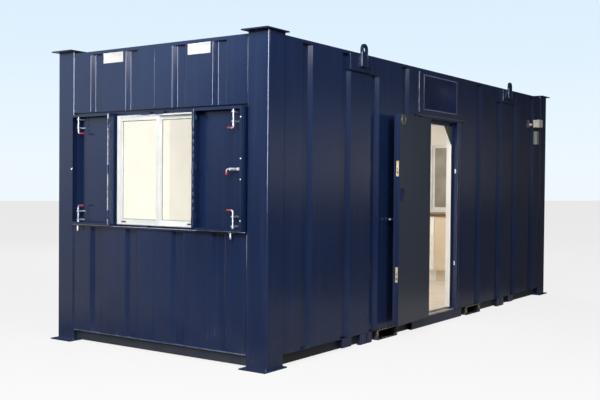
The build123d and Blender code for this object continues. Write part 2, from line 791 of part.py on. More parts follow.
with BuildPart(DOOR_PLANE) as door_leaf:
    block((EDGE_HINGE, OUTER, DOOR_LOW), (EDGE_FREE, OUTER + DOOR_SKIN, DOOR_LOW + DOOR_HIGH))
    block((EDGE_HINGE, OUTER + DOOR_SKIN, DOOR_LOW), (CORE_FREE, INNER, DOOR_LOW + DOOR_HIGH))
    block(
        (PULL_MIDDLE - PULL_WIDE / 2, INNER - PULL_DEEP, PULL_HEIGHT - PULL_HIGH / 2),
        (PULL_MIDDLE + PULL_WIDE / 2, INNER, PULL_HEIGHT + PULL_HIGH / 2),
        mode=Mode.SUBTRACT,
    )
    for z in LOCK_HEIGHTS:
        block(
            (CORE_FREE - LOCK_PLATE, LOCK_MIDDLE - LOCK_WIDE / 2, z - LOCK_HIGH / 2),
            (CORE_FREE, LOCK_MIDDLE + LOCK_WIDE / 2, z + LOCK_HIGH / 2),
            mode=Mode.SUBTRACT,
        )
save(door_leaf, "door_leaf")

with BuildPart(DOOR_PLANE) as lock_plates:
    for z in LOCK_HEIGHTS:
        block(
            (CORE_FREE - LOCK_PLATE, LOCK_MIDDLE - LOCK_WIDE / 2, z - LOCK_HIGH / 2),
            (CORE_FREE, LOCK_MIDDLE + LOCK_WIDE / 2, z + LOCK_HIGH / 2),
        )
save(lock_plates, "lock_plates")

with BuildPart(DOOR_PLANE) as door_furniture:
    block(
        (PULL_MIDDLE - PULL_WIDE / 2, INNER - PULL_DEEP, PULL_HEIGHT - PULL_HIGH / 2),
        (PULL_MIDDLE + PULL_WIDE / 2, INNER, PULL_HEIGHT + PULL_HIGH / 2),
    )
    block(
        (
            PULL_MIDDLE - PULL_WIDE / 2 + PULL_SHEET,
            INNER - PULL_DEEP + PULL_SHEET,
            PULL_HEIGHT - PULL_HIGH / 2 + PULL_SHEET,
        ),
        (
            PULL_MIDDLE + PULL_WIDE / 2 - PULL_SHEET,
            INNER,
            PULL_HEIGHT + PULL_HIGH / 2 - PULL_SHEET,
        ),
        mode=Mode.SUBTRACT,
    )
    with Locations(Location((CORE_FREE - DISC_IN, INNER + DISC_THICK / 2, DISC_HEIGHT), (90, 0, 0))):
        Cylinder(DISC_R, DISC_THICK)
save(door_furniture, "door_furniture")

# Door hinges: the lower knuckle and its pin belong to the frame, the upper knuckle to the leaf
KNUCKLE = HINGE_HIGH / 2
with BuildPart(DOOR_PLANE) as door_hinge_leaves:
    for z in HINGE_HEIGHTS:
        with Locations((0, 0, z + KNUCKLE / 2)):
            Cylinder(HINGE_R, KNUCKLE)
        block((0, 0, z), (EDGE_HINGE, HINGE_R, z + KNUCKLE))
        block((HINGE_START, OUTER - HINGE_PLATE, z), (HINGE_REACH, OUTER, z + KNUCKLE))
        with Locations((0, 0, z + KNUCKLE / 2)):
            Cylinder(HINGE_PIN_R + HINGE_PIN_CLEAR, KNUCKLE, mode=Mode.SUBTRACT)
save(door_hinge_leaves, "door_hinge_leaves")

with BuildPart() as door_hinge_pins:
    for z in HINGE_HEIGHTS:
        with Locations((DOOR_PIVOT.X, DOOR_PIVOT.Y, z - HINGE_GAP)):
            Cylinder(HINGE_R, KNUCKLE - HINGE_GAP, align=(Align.CENTER, Align.CENTER, Align.MAX))
        with Locations((DOOR_PIVOT.X, DOOR_PIVOT.Y, z)):
            Cylinder(HINGE_PIN_R, HINGE_HIGH)
        block(
            (FRAME_LEFT + HINGE_SIDE, -DOOR_PROUD - HINGE_PLATE, z - KNUCKLE),
            (DOOR_PIVOT.X, -DOOR_PROUD, z - HINGE_GAP),
        )
save(door_hinge_pins, "door_hinge_pins")

with BuildPart() as door_holdback:
    with Locations(Location((HOLDBACK_X, CLADDING_BACK, HOLDBACK_HEIGHT), (90, 0, 0))):
        Cylinder(HOLDBACK_R, HOLDBACK_LONG, align=(Align.CENTER, Align.CENTER, Align.MIN))
        Cylinder(HOLDBACK_BASE_R, PLATE, align=(Align.CENTER, Align.CENTER, Align.MIN))
save(door_holdback, "door_holdback")

# Shutters: folded steel pans that hang on a strip beside the window, open against the gable
PAN_BACK = GROOVE_BACK - SHUTTER_CLEAR
PAN_FRONT = PAN_BACK - SHUTTER_DEEP
PIVOT_X = PAN_FRONT - SHUTTER_PIVOT_OUT
PIVOT_Y = WIDTH / 2 + SHUTTER_SIDE
PAN_HINGE = PIVOT_Y - SHUTTER_EDGE
PAN_FREE = WIDTH - POST_Y - SHUTTER_FREE_CLEAR
PAN_TOP = SHUTTER_LOW + SHUTTER_HIGH
PIN_AXIS = Axis((PIVOT_X, PIVOT_Y, 0), (0, 0, 1))
SHUTTER_KNUCKLE = SHUTTER_HINGE_HIGH / 2
with BuildPart() as shutter:
    block((PAN_FRONT, PAN_HINGE, SHUTTER_LOW), (PAN_BACK, PAN_FREE, PAN_TOP))
    for front, inset in (
        (PAN_FRONT + SHUTTER_SHEET, SHUTTER_SHEET),
        (PAN_FRONT, SHUTTER_LIP),
    ):
        block(
            (front, PAN_HINGE + inset, SHUTTER_LOW + inset),
            (PAN_BACK - SHUTTER_SHEET, PAN_FREE - inset, PAN_TOP - inset),
            mode=Mode.SUBTRACT,
        )
    for z in SHUTTER_HINGE_HEIGHTS:
        with Locations((PIVOT_X, PIVOT_Y, z + SHUTTER_KNUCKLE / 2)):
            Cylinder(SHUTTER_HINGE_R, SHUTTER_KNUCKLE)
        block(
            (PAN_FRONT - SHUTTER_SHEET, PIVOT_Y - SHUTTER_LEAF_START, z),
            (PAN_FRONT, PIVOT_Y + SHUTTER_LEAF_REACH, z + SHUTTER_KNUCKLE),
        )
        with Locations((PIVOT_X, PIVOT_Y, z + SHUTTER_KNUCKLE / 2)):
            Cylinder(HINGE_PIN_R + HINGE_PIN_CLEAR, SHUTTER_KNUCKLE, mode=Mode.SUBTRACT)
save(shutter, "shutter_left")

with BuildPart() as shutter_right:
    add(shutter.part)
    mirror(about=MID_Y, mode=Mode.REPLACE)
save(shutter_right, "shutter_right")

with BuildPart() as right_gable_shutters:
    add(shutter.part.rotate(PIN_AXIS, 180))
    mirror(about=MID_Y)
    mirror(about=MID_X, mode=Mode.REPLACE)
save(right_gable_shutters, "right_gable_shutters")

STRIP_NEAR = WIDTH / 2 + STRIP_INNER
with BuildPart() as shutter_hinge_strips:
    block(
        (PIVOT_X, STRIP_NEAR, SHUTTER_LOW),
        (GROOVE_BACK, STRIP_NEAR + STRIP_THICK, PAN_TOP),
    )
    for z in SHUTTER_HINGE_HEIGHTS:
        with Locations((PIVOT_X, PIVOT_Y, z - HINGE_GAP)):
            Cylinder(
                SHUTTER_HINGE_R,
                SHUTTER_KNUCKLE - HINGE_GAP,
                align=(Align.CENTER, Align.CENTER, Align.MAX),
            )
        block(
            (PIVOT_X - SHUTTER_SHEET, STRIP_NEAR, z - SHUTTER_KNUCKLE),
            (PIVOT_X + SHUTTER_SHEET, PIVOT_Y, z - HINGE_GAP),
        )
        with Locations((PIVOT_X, PIVOT_Y, z)):
            Cylinder(HINGE_PIN_R, SHUTTER_HINGE_HIGH)
    mirror(about=MID_Y)
    mirror(about=MID_X)
save(shutter_hinge_strips, "shutter_hinge_strips")

# Shoot bolts inside each open shutter: rods bent into a grip, each in two guides
BOLT_X = PAN_BACK - SHUTTER_SHEET - BOLT_OUT
BOLT_Y = PAN_FREE - BOLT_IN
MIDDLE_BOLT = SHUTTER_LOW + SHUTTER_HIGH / 2
with BuildPart() as bolts:
    for tip, way in ((PAN_TOP - BOLT_END, -1), (SHUTTER_LOW + BOLT_END, 1)):
        bent_rod(
            [
                (BOLT_Y, tip),
                (BOLT_Y, tip + way * BOLT_LONG),
                (BOLT_Y - BOLT_GRIP, tip + way * BOLT_LONG),
            ],
            Plane.YZ.offset(BOLT_X),
            BOLT_R,
            BOLT_BEND,
        )
        for along in GUIDES_AT:
            z = tip + way * along
            block(
                (BOLT_X - BOLT_R - GUIDE_SHEET, BOLT_Y - GUIDE_WIDE / 2, z - GUIDE_HIGH / 2),
                (PAN_BACK - SHUTTER_SHEET, BOLT_Y + GUIDE_WIDE / 2, z + GUIDE_HIGH / 2),
            )
save(bolts, "shutter_left_bolts")

with BuildPart() as right_bolts:
    add(bolts.part)
    tip = PAN_FREE - BOLT_END
    bent_rod(
        [
            (tip, MIDDLE_BOLT),
            (tip - MIDDLE_BOLT_LONG, MIDDLE_BOLT),
            (tip - MIDDLE_BOLT_LONG, MIDDLE_BOLT - MIDDLE_BOLT_GRIP),
        ],
        Plane.YZ.offset(BOLT_X),
        BOLT_R,
        BOLT_BEND,
    )
    for along in GUIDES_AT:
        y = tip - along
        block(
            (BOLT_X - BOLT_R - GUIDE_SHEET, y - GUIDE_HIGH / 2, MIDDLE_BOLT - GUIDE_WIDE / 2),
            (PAN_BACK - SHUTTER_SHEET, y + GUIDE_HIGH / 2, MIDDLE_BOLT + GUIDE_WIDE / 2),
        )
    mirror(about=MID_Y, mode=Mode.REPLACE)
save(right_bolts, "shutter_right_bolts")

# Lifting points: an eye plate and a lug on a doubler plate, near both ends of both long sides
EYE_LOW = HEIGHT + EYE_OVER - EYE_LONG
EYE_MIDDLE = HEIGHT + EYE_OVER - EYE_WIDE / 2
DOUBLER_TOP = HEIGHT - DOUBLER_DROP
LUG_TOP = HEIGHT - LUG_DROP
DOUBLER_FACE = CLADDING_BACK - DOUBLER_THICK
for side, mirrors in {"front": [], "back": [MID_Y]}.items():
    with BuildPart() as lifting_points:
        block(
            (LIFTING_FROM_END - DOUBLER_OUTER, DOUBLER_FACE, DOUBLER_TOP - DOUBLER_HIGH),
            (LIFTING_FROM_END + DOUBLER_INNER, CLADDING_BACK, DOUBLER_TOP),
        )
        block(
            (LIFTING_FROM_END - DOUBLER_OUTER, CLADDING_BACK, DOUBLER_TOP - DOUBLER_HIGH),
            (LIFTING_FROM_END - DOUBLER_OUTER + DOUBLER_WEB, GROOVE_BACK, CLADDING_TOP),
        )
        block(
            (LIFTING_FROM_END + LUG_FROM_EYE - LUG_WIDE / 2, DOUBLER_FACE - LUG_OUT, LUG_TOP - LUG_HIGH),
            (LIFTING_FROM_END + LUG_FROM_EYE + LUG_WIDE / 2, DOUBLER_FACE, LUG_TOP),
        )
        with BuildSketch(Plane.XZ.offset(-DOUBLER_FACE)):
            with Locations((LIFTING_FROM_END, EYE_MIDDLE)):
                Circle(EYE_WIDE / 2)
                Rectangle(EYE_WIDE, EYE_MIDDLE - EYE_LOW, align=(Align.CENTER, Align.MAX))
                Circle(EYE_HOLE_R, mode=Mode.SUBTRACT)
        extrude(amount=EYE_THICK)
        mirror(about=MID_X)
        for plane in mirrors:
            mirror(about=plane, mode=Mode.REPLACE)
    save(lifting_points, f"lifting_points_{side}")

# Power inlet
INLET_LEFT = LENGTH - INLET_FROM_END
INLET_LOW = HEIGHT - INLET_DROP
TRUNKING_LEFT = LENGTH - TRUNKING_FROM_END
TRUNKING_LOW = HEIGHT - TRUNKING_DROP
with BuildPart() as inlet_box:
    block(
        (INLET_LEFT, CLADDING_BACK - INLET_DEEP, INLET_LOW),
        (INLET_LEFT + INLET_WIDE, CLADDING_BACK, INLET_LOW + INLET_HIGH),
    )
save(inlet_box, "inlet_box")

with BuildPart() as inlet_trunking:
    block(
        (TRUNKING_LEFT, CLADDING_BACK - TRUNKING_DEEP, TRUNKING_LOW),
        (TRUNKING_LEFT + TRUNKING_WIDE, CLADDING_BACK, TRUNKING_LOW + TRUNKING_HIGH),
    )
save(inlet_trunking, "inlet_trunking")

# Fitted unit along the far gable: worktop, carcass on a plinth, doors
UNIT_WALL = LENGTH - WALL
UNIT_FACE = UNIT_WALL - UNIT_DEEP
UNIT_LOW = FLOOR_TOP + UNIT_PLINTH
UNIT_TOP = WORKTOP_TOP - WORKTOP_THICK
UNIT_SPLITS = (WALL, (WALL + UNIT_SPLIT) / 2, UNIT_SPLIT, (UNIT_SPLIT + WIDTH - WALL) / 2, WIDTH - WALL)
with BuildPart() as worktop:
    block((UNIT_WALL - WORKTOP_DEEP, WALL, UNIT_TOP), (UNIT_WALL, WIDTH - WALL, WORKTOP_TOP))
save(worktop, "worktop")

with BuildPart() as base_unit:
    block((UNIT_FACE, WALL, UNIT_LOW), (UNIT_WALL, WIDTH - WALL, UNIT_TOP))
    block((UNIT_FACE + PLINTH_BACK, WALL, FLOOR_TOP), (UNIT_WALL, WIDTH - WALL, UNIT_LOW))
save(base_unit, "base_unit")

with BuildPart() as unit_doors:
    for near, far in zip(UNIT_SPLITS[:-1], UNIT_SPLITS[1:]):
        block(
            (UNIT_FACE - UNIT_BOARD, near + UNIT_DOOR_GAP / 2, UNIT_LOW),
            (UNIT_FACE, far - UNIT_DOOR_GAP / 2, UNIT_TOP - UNIT_DOOR_GAP),
        )
save(unit_doors, "unit_doors")
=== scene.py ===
"""Portable site cabin: finishes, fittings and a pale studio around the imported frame.

Each group of pieces is one operator, so the cabin can be dressed step by step from the panel.
Lengths are in metres. X runs along the cabin from the gable whose shutters are open, Y from the
front with the door to the back, and Z up.
"""

import json
import math

import bmesh
import bpy
from bpy.props import FloatProperty, FloatVectorProperty, PointerProperty, StringProperty
from mathutils import Matrix, Vector


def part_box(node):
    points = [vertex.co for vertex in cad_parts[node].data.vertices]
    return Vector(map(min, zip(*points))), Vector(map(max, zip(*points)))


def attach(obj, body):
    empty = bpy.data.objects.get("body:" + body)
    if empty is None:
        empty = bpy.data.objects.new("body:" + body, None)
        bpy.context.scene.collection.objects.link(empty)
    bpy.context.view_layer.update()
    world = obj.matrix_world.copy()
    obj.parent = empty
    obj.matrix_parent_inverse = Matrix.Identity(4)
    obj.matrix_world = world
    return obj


bl_info = {
    "name": "Portable Site Cabin",
    "version": (1, 0, 0),
    "blender": (4, 5, 0),
    "location": "View3D > Sidebar > Cabin",
    "description": "Dresses the frame of a portable steel site cabin",
    "category": "Object",
}

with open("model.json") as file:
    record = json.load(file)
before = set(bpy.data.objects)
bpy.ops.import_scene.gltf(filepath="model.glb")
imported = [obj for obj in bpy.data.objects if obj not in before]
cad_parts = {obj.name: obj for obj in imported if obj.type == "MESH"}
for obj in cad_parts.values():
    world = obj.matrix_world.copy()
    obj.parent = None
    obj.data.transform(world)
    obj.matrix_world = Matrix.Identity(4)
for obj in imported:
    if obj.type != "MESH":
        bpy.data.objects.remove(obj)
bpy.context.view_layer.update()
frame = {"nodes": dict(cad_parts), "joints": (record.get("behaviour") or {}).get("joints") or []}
NODES = frame["nodes"]
JOINTS = {joint["name"]: joint for joint in frame["joints"]}

# Ways that a face looks
LEFT = Vector((-1, 0, 0))
FRONT = Vector((0, -1, 0))

# Axes to mirror along
ALONG, ACROSS = 0, 1

# Planes and edges that the pieces are placed by, from the frame
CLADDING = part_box("front_cladding_left")[0].y  # face of the cladding, behind the post face
CLADDING_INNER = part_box("front_cladding_left")[1].y
CLADDING_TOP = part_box("front_cladding_left")[1].z
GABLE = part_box("left_gable_cladding")
CLADDING_FOOT = GABLE[0].z
POST_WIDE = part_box("corner_post_front_left")[1].x  # corner post along the front
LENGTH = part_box("corner_post_front_right")[1].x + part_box("corner_post_front_left")[0].x
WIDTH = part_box("corner_post_back_left")[1].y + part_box("corner_post_front_left")[0].y

# Sizes of the frame that no box gives
POST = 0.210  # corner post along the gable
BAND = (1.050, 2.050)  # foot and head of the gable's flat band
LEDGE = 0.016  # ledge under the band, with its flange
DOUBLER_LONG = 0.370
DOUBLER_DROP = 0.046  # doubler plate's head below the top plates
DOUBLER_OUT = 0.020  # doubler plate in front of the cladding
EYE = (0.155, 0.255)  # eye plate's edges from the doubler plate's
LOCK_TALL = 0.142
SASH_BAR = 0.033
SASH_MEET = 0.044  # outer sash's edge past the window's middle
SHUTTER_SHEET = 0.003
SHUTTER_LIPS = 0.067  # face of the folded lips in front of the pan's sheet
LIP_MIDDLE = 0.011  # middle of a lip from the pan's edge
BOLT_OUT = 0.058  # bolt's rod in front of the pan's sheet
BOLT_IN = 0.090  # upright bolt from the pan's free edge
BOLT_LONG = 0.155
BOLT_END = 0.012  # bolt's tip from the pan's edge
MIDDLE_BOLT_LONG = 0.145
COVER = (0.659, 0.0575)  # middle of the door's round cover, along the leaf from the pin and out
COVER_R = 0.046

# Finishes that several operators share
PAINT = "navy gloss enamel on steel"
ZINC = "zinc plated steel"
BRASS = "satin brass"
WHITE = "white unplasticised vinyl"
CREAM = "cream moulded box"
SEAL = "black door seal"
LIT_EDGE_PAINT = "blue grey edge, painted highlight"
HIGHLIGHT_LINE = "light edge line, painted highlight"


# ---- materials


def linear(hex_value):
    """Linear RGBA of an sRGB hex colour."""
    parts = [int(hex_value[i : i + 2], 16) / 255 for i in (1, 3, 5)]
    return tuple(c / 12.92 if c <= 0.04045 else ((c + 0.055) / 1.055) ** 2.4 for c in parts) + (1.0,)


def new_finish(name):
    """An empty node material and its tree."""
    finish = bpy.data.materials.new(name)
    finish.use_nodes = True
    finish.node_tree.nodes.clear()
    return finish, finish.node_tree


def add(tree, kind, inputs=None, **settings):
    """Adds a shader node: inputs by name or index, as numbers or sockets, and its own fields."""
    made = tree.nodes.new(kind)
    for field, value in settings.items():
        setattr(made, field, value)
    for socket, value in (inputs or {}).items():
        if isinstance(value, bpy.types.NodeSocket):
            tree.links.new(value, made.inputs[socket])
        else:
            made.inputs[socket].default_value = value
    return made


def ramp(tree, factor, stops):
    """A colour ramp over (place, colour) stops."""
    made = add(tree, "ShaderNodeValToRGB", {"Fac": factor})
    band = made.color_ramp
    while len(band.elements) < len(stops):
        band.elements.new(1.0)
    for element, (place, colour) in zip(band.elements, stops):
        element.position = place
        element.color = colour
    return made.outputs["Color"]


def spread(tree, value, low, high, start=0.0, end=1.0):
    """Maps a value from low..high to start..end."""
    inputs = {"Value": value, "From Min": low, "From Max": high, "To Min": start, "To Max": end}
    return add(tree, "ShaderNodeMapRange", inputs).outputs["Result"]


def maths(tree, operation, *values):
    """A sum on numbers or sockets."""
    return add(tree, "ShaderNodeMath", dict(enumerate(values)), operation=operation).outputs[0]


def product(tree, *values):
    """All the values multiplied."""
    result = values[0]
    for value in values[1:]:
        result = maths(tree, "MULTIPLY", result, value)
    return result


def blended(tree, factor, under, over):
    """Colour over laid on colour under by factor."""
    inputs = {0: factor, 6: under, 7: over}
    return add(tree, "ShaderNodeMix", inputs, data_type="RGBA").outputs[2]


def noise(tree, place, patch, detail=3.0):
    """Fractal noise around 0.5 whose patches are so many millimetres across."""
    inputs = {"Vector": place, "Scale": 1000 / patch, "Detail": detail}
    return add(tree, "ShaderNodeTexNoise", inputs).outputs["Fac"]


def coated(tree, **sockets):
    """The material's shader and output, with the sockets named in words joined by underscores."""
    inputs = {name.replace("_", " "): value for name, value in sockets.items()}
    shader = add(tree, "ShaderNodeBsdfPrincipled", inputs)
    add(tree, "ShaderNodeOutputMaterial", {"Surface": shader.outputs["BSDF"]})


def raised(tree, height, strength, distance, under=None):
    """Bump from a height, on top of another bump."""
    inputs = {"Height": height, "Strength": strength, "Distance": distance}
    if under is not None:
        inputs["Normal"] = under
    return add(tree, "ShaderNodeBump", inputs).outputs["Normal"]


def satin(tree, place, tint, rough, grain=2, bump=0.05, patch=333.3, metal=0.0):
    """An uneven gloss in patches and a fine grain under a tint; patch and grain are in millimetres."""
    gloss = spread(tree, noise(tree, place, patch / 9), 0.35, 0.65, *rough)
    relief = raised(tree, noise(tree, place, grain, 2.0), bump, 0.001)
    coated(tree, Base_Color=tint, Roughness=gloss, Normal=relief, Metallic=metal)


def plain(name, base, shade, rough=(0.35, 0.5), grain=2, bump=0.1, patch=250, metal=0.0):
    """A moulded, foiled or bare finish in soft colour patches.

    A real grain is a tenth of this one, which is as coarse as it has to be to break up the gloss.
    """
    finish, tree = new_finish(name)
    place = add(tree, "ShaderNodeTexCoord").outputs["Object"]
    tint = ramp(tree, noise(tree, place, patch, 5.0), ((0.35, linear(shade)), (0.62, linear(base))))
    satin(tree, place, tint, rough, grain, bump, patch, metal)
    return finish


def enamel(name, base, shade, inner=None, lips=None, sheen=0.15):
    """Gloss enamel on sheet steel: rain streaks, road dust near the ground, chips and a wavy sheet.

    inner is the colour of faces that look to the front on the open door, lips the colour of the
    bare ends of the fork pockets, and sheen the roughness where the paint is cleanest.
    """
    finish, tree = new_finish(name)
    coordinates = add(tree, "ShaderNodeTexCoord")
    place = coordinates.outputs["Object"]
    parts = add(tree, "ShaderNodeSeparateXYZ", {"Vector": place})
    tint = ramp(tree, noise(tree, place, 769, 5.0), ((0.35, linear(shade)), (0.62, linear(base))))
    if inner:
        normal = add(tree, "ShaderNodeSeparateXYZ", {"Vector": coordinates.outputs["Normal"]})
        tint = blended(tree, spread(tree, normal.outputs["Y"], -0.7, -0.95), tint, linear(inner))
    if lips:
        # rubbed bare over the last 50 mm of either mouth, in 33 mm patches with 22 mm rust spots
        from_middle = maths(tree, "ABSOLUTE", maths(tree, "SUBTRACT", parts.outputs["Y"], WIDTH / 2))
        worn = spread(tree, from_middle, WIDTH / 2 - 0.05, WIDTH / 2 - 0.005)
        patchy = spread(tree, noise(tree, place, 33.33), 0.35, 0.6)
        rust = ramp(tree, noise(tree, place, 22.22), ((0.4, linear("#5B4A3C")), (0.62, linear(lips))))
        tint = blended(tree, product(tree, worn, patchy), tint, rust)
    # rain leaves streaks about 40 mm wide and 1.4 m long, chalky where they are strong
    tall = add(tree, "ShaderNodeMapping", {"Vector": place, "Scale": (26.0, 26.0, 0.7)}).outputs[0]
    streak = noise(tree, tall, 1000, 4.0)
    washed = spread(tree, streak, 0.55, 0.85, 0.0, 0.03)
    tint = blended(tree, washed, tint, linear("#8B93A3"))
    # road dust thins out up to 0.9 m, in clouds of about 170 mm
    low = spread(tree, parts.outputs["Z"], 0.9, 0.0)
    speckle = spread(tree, noise(tree, place, 166.7, 8.0), 0.3, 0.75, 0.1, 1.0)
    soiled = product(tree, low, speckle, 0.10)
    tint = blended(tree, soiled, tint, linear("#6E6860"))
    # chips up to 10 mm across, one to every 330 mm, show the grey primer
    cells = add(tree, "ShaderNodeTexVoronoi", {"Vector": place, "Scale": 3.0}).outputs["Distance"]
    chipped = spread(tree, cells, 0.016, 0.010, 0.0, 0.5)
    tint = blended(tree, chipped, tint, linear("#9AA0A6"))
    gloss = spread(tree, streak, 0.35, 0.7, sheen, sheen + 0.06)
    gloss = maths(tree, "ADD", gloss, product(tree, soiled, 1.2))
    # the sheet waves over 400 mm, and the spray leaves orange peel, drawn at 4 mm so that it shows
    sheet = raised(tree, noise(tree, place, 416.7, 1.0), 0.35, 0.004)
    peel = raised(tree, noise(tree, place, 4.167, 2.0), 0.03, 0.001, sheet)
    coated(tree, Base_Color=tint, Roughness=gloss, Normal=peel)
    return finish


def by_place(name, axis, edge, below, above):
    """One board finish on either side of a place along an axis, as where white meets pale wood."""
    finish, tree = new_finish(name)
    place = add(tree, "ShaderNodeTexCoord").outputs["Object"]
    along = add(tree, "ShaderNodeSeparateXYZ", {"Vector": place}).outputs[axis]
    tint = blended(tree, maths(tree, "GREATER_THAN", along, edge), linear(below), linear(above))
    # handled patches a shade browner, 330 mm across, and a 2 mm emboss
    handled = spread(tree, noise(tree, place, 333.3, 5.0), 0.4, 0.8, 0.0, 0.12)
    tint = blended(tree, handled, tint, linear("#6F6253"))
    satin(tree, place, tint, (0.35, 0.5))
    return finish


def dress(names, finish):
    """Gives CAD nodes, named in one string, one finish."""
    for name in names.split():
        slots = NODES[name].data.materials
        slots.clear()
        slots.append(finish)


# ---- modelling


def nothing_selected():
    """Deselects everything, because an operator acts on all that is selected."""
    bpy.ops.object.select_all(action="DESELECT")


def only(made):
    """Selects one object and makes it the active one."""
    nothing_selected()
    made.select_set(True)
    bpy.context.view_layer.objects.active = made


def applied():
    """Applies the place, turn and scale of the object that was just added, and returns it."""
    bpy.ops.object.transform_apply(location=True, rotation=True, scale=True)
    return bpy.context.object


def edit(action):
    """Opens the active mesh for editing with all of it selected, or none."""
    bpy.ops.object.mode_set(mode="EDIT")
    bpy.ops.mesh.select_all(action=action)


def close(outward=False):
    """Leaves edit mode, with every face turned outward if asked."""
    if outward:
        bpy.ops.mesh.select_all(action="SELECT")
        bpy.ops.mesh.normals_make_consistent(inside=False)
    bpy.ops.object.mode_set(mode="OBJECT")


def rounded(made, width):
    """Rounds the sharp edges of a piece and shades it smooth."""
    bevel = made.modifiers.new("edges", "BEVEL")
    bevel.width = width
    bevel.segments = 2
    bevel.limit_method = "ANGLE"
    bpy.ops.object.modifier_apply(modifier=bevel.name)
    bpy.ops.object.shade_smooth_by_angle(angle=math.radians(35))
    return made


def cuboid(low, high, edge=0.0012):
    """A box between two corners with rounded edges."""
    low, high = Vector(low), Vector(high)
    nothing_selected()
    bpy.ops.mesh.primitive_cube_add(size=1.0, location=(low + high) / 2)
    bpy.context.object.scale = high - low
    return rounded(applied(), edge)


def cylinder(start, end, radius, sides):
    """A cylinder between two points."""
    start, end = Vector(start), Vector(end)
    way = end - start
    nothing_selected()
    bpy.ops.mesh.primitive_cylinder_add(
        vertices=sides, radius=radius, depth=way.length, location=(start + end) / 2,
        rotation=way.to_track_quat("Z", "Y").to_euler(),
    )
    return applied()


def bar(start, end, radius, edge=0.001, sides=20):
    """A round bar between two points with rounded ends."""
    return rounded(cylinder(start, end, radius, sides), edge)


def head(place, radius, way):
    """A domed rivet or screw head on a face that looks one way."""
    nothing_selected()
    turn = way.to_track_quat("Z", "Y").to_euler()
    bpy.ops.mesh.primitive_uv_sphere_add(
        segments=12, ring_count=8, radius=radius, location=place, rotation=turn
    )
    bpy.context.object.scale.z = 0.45
    made = applied()
    bpy.ops.object.shade_smooth()
    return made


def weld(start, end, radius, seed):
    """A weld bead between two points: a thin bar cut into short lengths that are pushed out of true."""
    start, end = Vector(start), Vector(end)
    pitch = 0.009  # from one ripple of the bead to the next
    made = cylinder(start, end, radius, 7)
    edit("DESELECT")
    mesh = bmesh.from_edit_mesh(made.data)
    along = (end - start).normalized()
    for edge in mesh.edges:
        a, b = edge.verts
        edge.select_set(abs((b.co - a.co).normalized().dot(along)) > 0.99)
    bmesh.update_edit_mesh(made.data)
    bpy.ops.mesh.subdivide(number_cuts=max(2, int((end - start).length / pitch)))
    bpy.ops.mesh.select_all(action="SELECT")
    bpy.ops.transform.vertex_random(offset=radius * 0.55, seed=seed)
    close()
    bpy.ops.object.shade_smooth()
    return made


def ring(middle, size, width, thick, way):
    """A flat rectangular ring whose face looks one way: size is its width and height outside."""
    nothing_selected()
    turn = (math.pi / 2, 0, 0) if way == FRONT else (math.pi / 2, 0, -math.pi / 2)
    bpy.ops.mesh.primitive_plane_add(size=1.0, location=middle, rotation=turn)
    bpy.context.object.scale = (*size, 1.0)
    made = applied()
    edit("SELECT")
    bpy.ops.mesh.inset(thickness=width)
    bpy.ops.mesh.delete(type="FACE")
    bpy.ops.mesh.select_all(action="SELECT")
    bpy.ops.mesh.extrude_region_move(TRANSFORM_OT_translate={"value": -thick * way})
    close(outward=True)
    return rounded(made, min(width, thick) * 0.25)


def press(made, way, margin, depth):
    """Sinks a panel into the largest face that looks one way."""
    only(made)
    edit("DESELECT")
    mesh = bmesh.from_edit_mesh(made.data)
    faces = [face for face in mesh.faces if face.normal.dot(way) > 0.99]
    max(faces, key=lambda face: face.calc_area()).select_set(True)
    bmesh.update_edit_mesh(made.data)
    bpy.ops.mesh.inset(thickness=margin)
    bpy.ops.mesh.inset(thickness=depth, depth=-depth)
    close()
    return made


def piece(name, finish, parts, body="cabin"):
    """Joins the parts into one named piece with one finish, new or shared, that moves with a body."""
    only(parts[0])
    for part in parts[1:]:
        part.select_set(True)
    if len(parts) > 1:
        bpy.ops.object.join()
    made = bpy.context.object
    made.name = name
    made.data.name = name
    made.data.materials.clear()
    made.data.materials.append(bpy.data.materials[finish] if isinstance(finish, str) else finish)
    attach(made, body)
    return made


def mirrored(parts, axis):
    """Copies of the parts on the other side of the cabin's middle, each with its own mesh."""
    flip = Matrix.Identity(4)
    flip[axis][axis] = -1.0
    flip[axis][3] = (LENGTH, WIDTH)[axis]
    made = []
    for part in parts:
        only(part)
        bpy.ops.object.duplicate(linked=False)
        copy = bpy.context.object
        copy.data.transform(flip)
        edit("SELECT")
        close(outward=True)
        made.append(copy)
    return made


# ---- settings


def hex_colour(name, description, default):
    """A colour as an sRGB hex string."""
    return StringProperty(name=name, description=description, default=default)


def number(name, description, default, unit="NONE"):
    """A number, in a unit where it has one."""
    return FloatProperty(name=name, description=description, default=default, unit=unit)


def corner(name, description, default):
    """A place on the front, along the cabin and up."""
    return FloatVectorProperty(
        name=name, description=description, default=default, size=2, subtype="COORDINATES", unit="LENGTH"
    )


class SiteCabinColours(bpy.types.PropertyGroup):
    """Colours a user would change."""

    paint: hex_colour("Paint", "Steelwork paint", "#1A2B50")
    paint_shade: hex_colour("Paint shade", "Darker patches", "#172648")
    door_inside: hex_colour("Door inside", "Inner face of the door", "#3B4251")
    lining: hex_colour("Lining", "Inside wall lining", "#F4F0E9")
    grip: hex_colour("Grips", "Sleeves on the shutter bolts", "#B23A3C")


class SiteCabinSizes(bpy.types.PropertyGroup):
    """Sizes of the fittings."""

    sign_low: corner("Sign from", "Left lower corner of the sign over the door", (2.553, 2.180))
    sign_high: corner("Sign to", "Right upper corner of the sign over the door", (3.323, 2.530))
    notice_wide: number("Notice width", "White plates under the gable's roof edge", 0.240, "LENGTH")
    notice_high: number("Notice height", "White plates under the gable's roof edge", 0.088, "LENGTH")
    weld: number("Weld", "Radius of a weld bead", 0.004, "LENGTH")
    lining: number("Reveal", "Thickness of the door reveal's lining", 0.003, "LENGTH")


